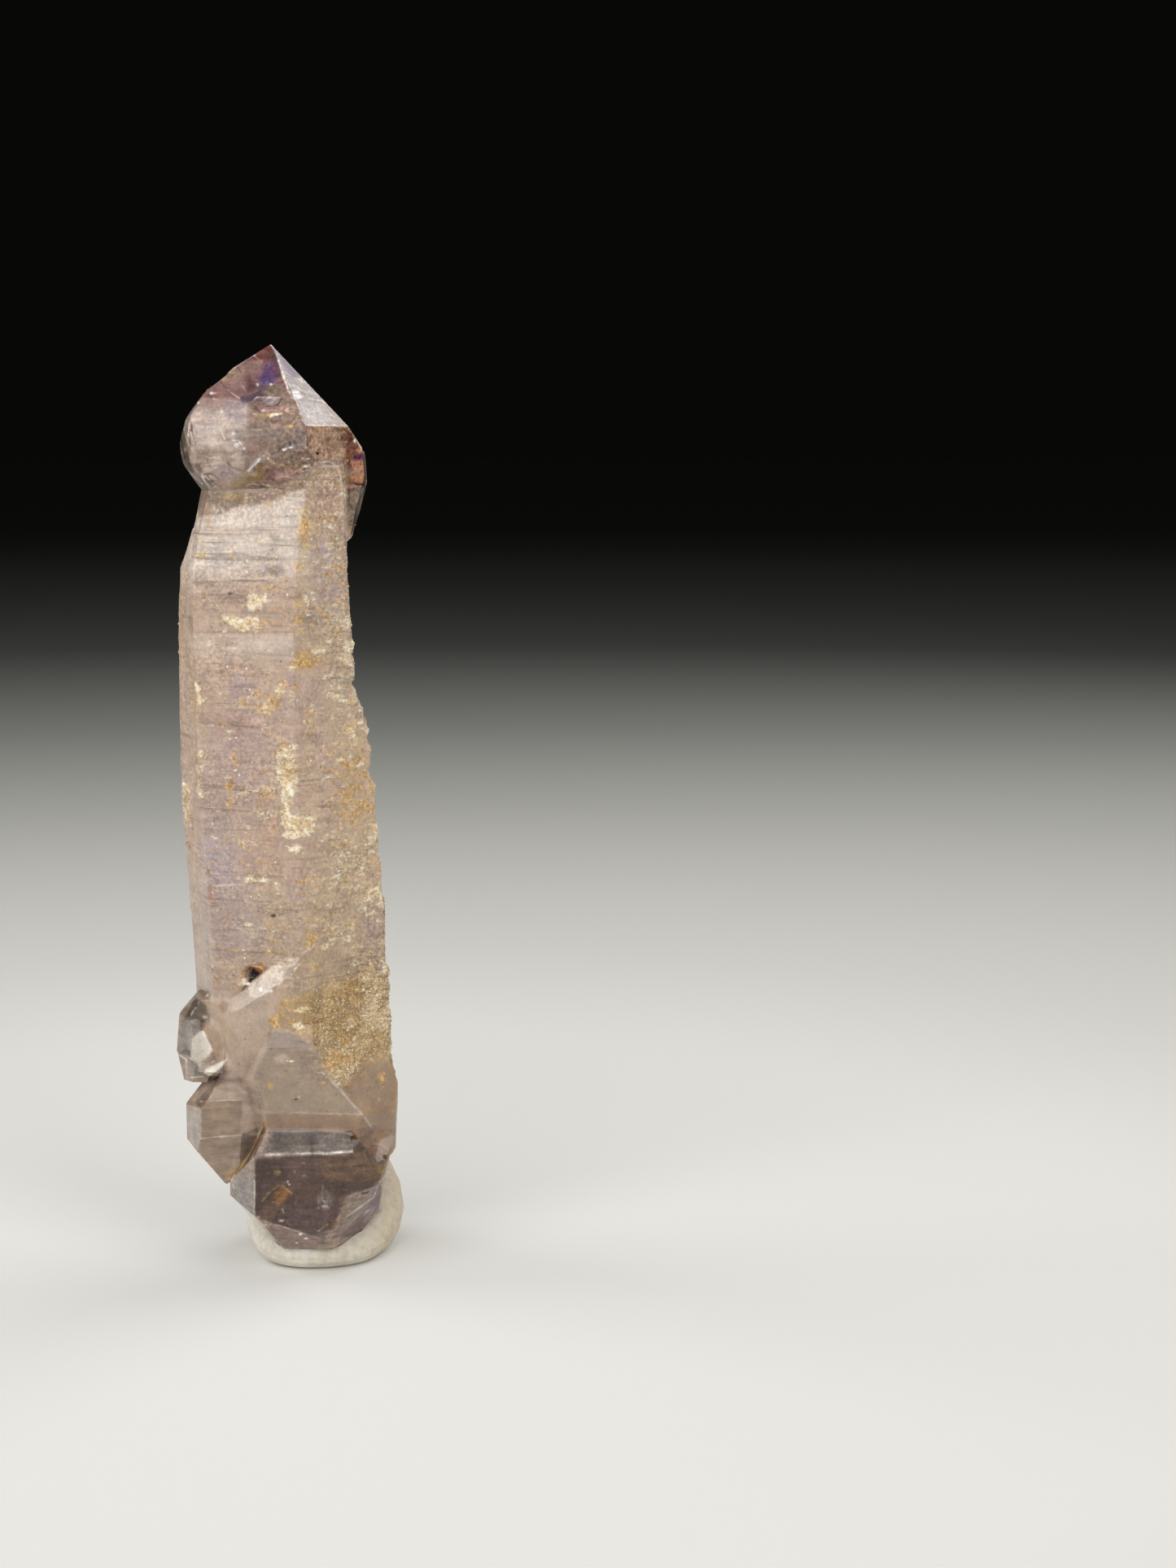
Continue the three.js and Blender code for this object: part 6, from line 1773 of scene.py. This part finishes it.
def putty_lump(rings=46, sides=120):
    """A closed lump with the CAD putty's form, finer and uneven, in mm."""
    heights = np.linspace(0.0, 1.0, rings)
    angle = np.arange(sides) * 2 * np.pi / sides
    east, north = np.cos(angle), np.sin(angle)
    wobble = 1 + 0.03 * np.sin(3 * angle + 0.6) + 0.02 * np.sin(5 * angle)
    back_right = np.maximum(0, 0.75 * east + 0.66 * north)
    top = 6.6 + 1.6 * north - 0.4 * east + 6.8 * back_right**2
    points = []
    for rise, share in zip(heights, np.interp(heights, PUTTY_HEIGHTS, PUTTY_REACH)):
        radius = PUTTY_RADIUS * wobble * share
        points.append(np.stack([radius * east, radius * north, top * rise], 1))
    points = np.vstack(points)
    outward = points * [1, 1, 0]
    outward /= np.linalg.norm(outward, axis=1)[:, None]
    points = points + outward * (0.3 * layers(points, 5.0, 13) - 0.3)[:, None] + [*PUTTY_MIDDLE, 0]
    faces = [tuple(reversed(range(sides)))]
    for level in range(rings - 1):
        for i in range(sides):
            a, b = level * sides + i, level * sides + (i + 1) % sides
            faces.append((a, b, b + sides, a + sides))
    faces.append(tuple((rings - 1) * sides + i for i in range(sides)))
    return points, faces


def make_putty():
    """The lump, with the crystal's own form, a hair larger, pressed into it."""
    lump = mesh_object("putty_lump", *putty_lump())
    points, faces = arrays_of(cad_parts["amethyst_crystal"])
    press = mesh_object("press", points + normals_of(points, faces) * PRESS_GAP, faces)
    cut = lump.modifiers.new("press", "BOOLEAN")
    cut.operation = "DIFFERENCE"
    cut.solver = "EXACT"
    cut.object = press
    bpy.context.view_layer.update()
    shaped = bpy.data.meshes.new_from_object(lump.evaluated_get(bpy.context.evaluated_depsgraph_get()))
    bpy.data.objects.remove(lump)
    bpy.data.objects.remove(press)
    shaped.name = "putty"
    putty = bpy.data.objects.new("putty", shaped)
    bpy.context.scene.collection.objects.link(putty)
    shaped.shade_smooth()
    shaped.set_sharp_from_angle(angle=math.radians(PUTTY_SHARP))
    return putty


# The stage

FLOOR_SIZE = 60.0
SENSOR_WIDTH, LENS = 36.0, 54.18
# Soft lights: name, place, what they are aimed at, width and height in m, and power in W
LIGHTS = [
    ("overhead", (0.0, -0.1, 0.8), (0, 0, 0.05), (1.7, 1.5), 5.4),
    ("front_left", (-0.4, -0.8, 0.55), (0, 0, 0.06), (1.0, 1.0), 6.6),
    ("front_right", (0.6, -0.6, 0.4), (0, 0, 0.06), (0.5, 0.6), 3.1),
    ("back_right", (0.5, 0.35, 0.5), (0, 0, 0.1), (0.6, 0.5), 2.0),
    ("left", (-0.65, 0.15, 0.35), (0, 0, 0.06), (0.4, 0.5), 1.8),
]


def make_floor():
    bpy.ops.mesh.primitive_plane_add(size=FLOOR_SIZE)
    floor = bpy.context.object
    floor.name = "floor"
    floor.data.materials.append(floor_material())


def soft_light(name, place, aim, size, power):
    data = bpy.data.lights.new(name, "AREA")
    data.shape = "RECTANGLE"
    data.size, data.size_y = size
    data.energy = power
    light = bpy.data.objects.new(name, data)
    bpy.context.scene.collection.objects.link(light)
    light.location = place
    light.rotation_euler = (Vector(aim) - Vector(place)).to_track_quat("-Z", "Y").to_euler()


def make_stage():
    make_floor()
    for light in LIGHTS:
        soft_light(*light)
    world = bpy.data.worlds.new("world")
    bpy.context.scene.world = world
    world.use_nodes = True
    world.node_tree.nodes["Background"].inputs[0].default_value = ROOM_LIGHT_AND_FLOOR_GLOW


def make_camera():
    data = bpy.data.cameras.new("camera")
    data.sensor_width = SENSOR_WIDTH
    data.lens = LENS
    data.clip_start = 0.01
    camera = bpy.data.objects.new("camera", data)
    bpy.context.scene.collection.objects.link(camera)
    camera.location = EYE * MM
    camera.rotation_euler = (math.radians(90.0 - EYE_PITCH), 0, 0)
    bpy.context.scene.camera = camera


def set_render():
    scene = bpy.context.scene
    scene.view_settings.view_transform = "Standard"
    scene.view_settings.look = "None"
    scene.cycles.use_denoising = True
    scene.cycles.max_bounces = 16
    scene.cycles.transmission_bounces = 12
    scene.cycles.caustics_reflective = False
    scene.cycles.caustics_refractive = True
    scene.cycles.blur_glossy = 0.5


def dress(piece, material, replaced=None):
    piece.data.materials.clear()
    piece.data.materials.append(material)
    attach(piece, "root")
    if replaced:
        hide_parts(replaced)


make_camera()
make_stage()
set_render()

surface, *arrays = fine_crystal()
dress(surface, crystal_material(), "amethyst_crystal")
dress(make_grains(*arrays), grain_material())
dress(make_putty(), putty_material(), "mounting_putty")
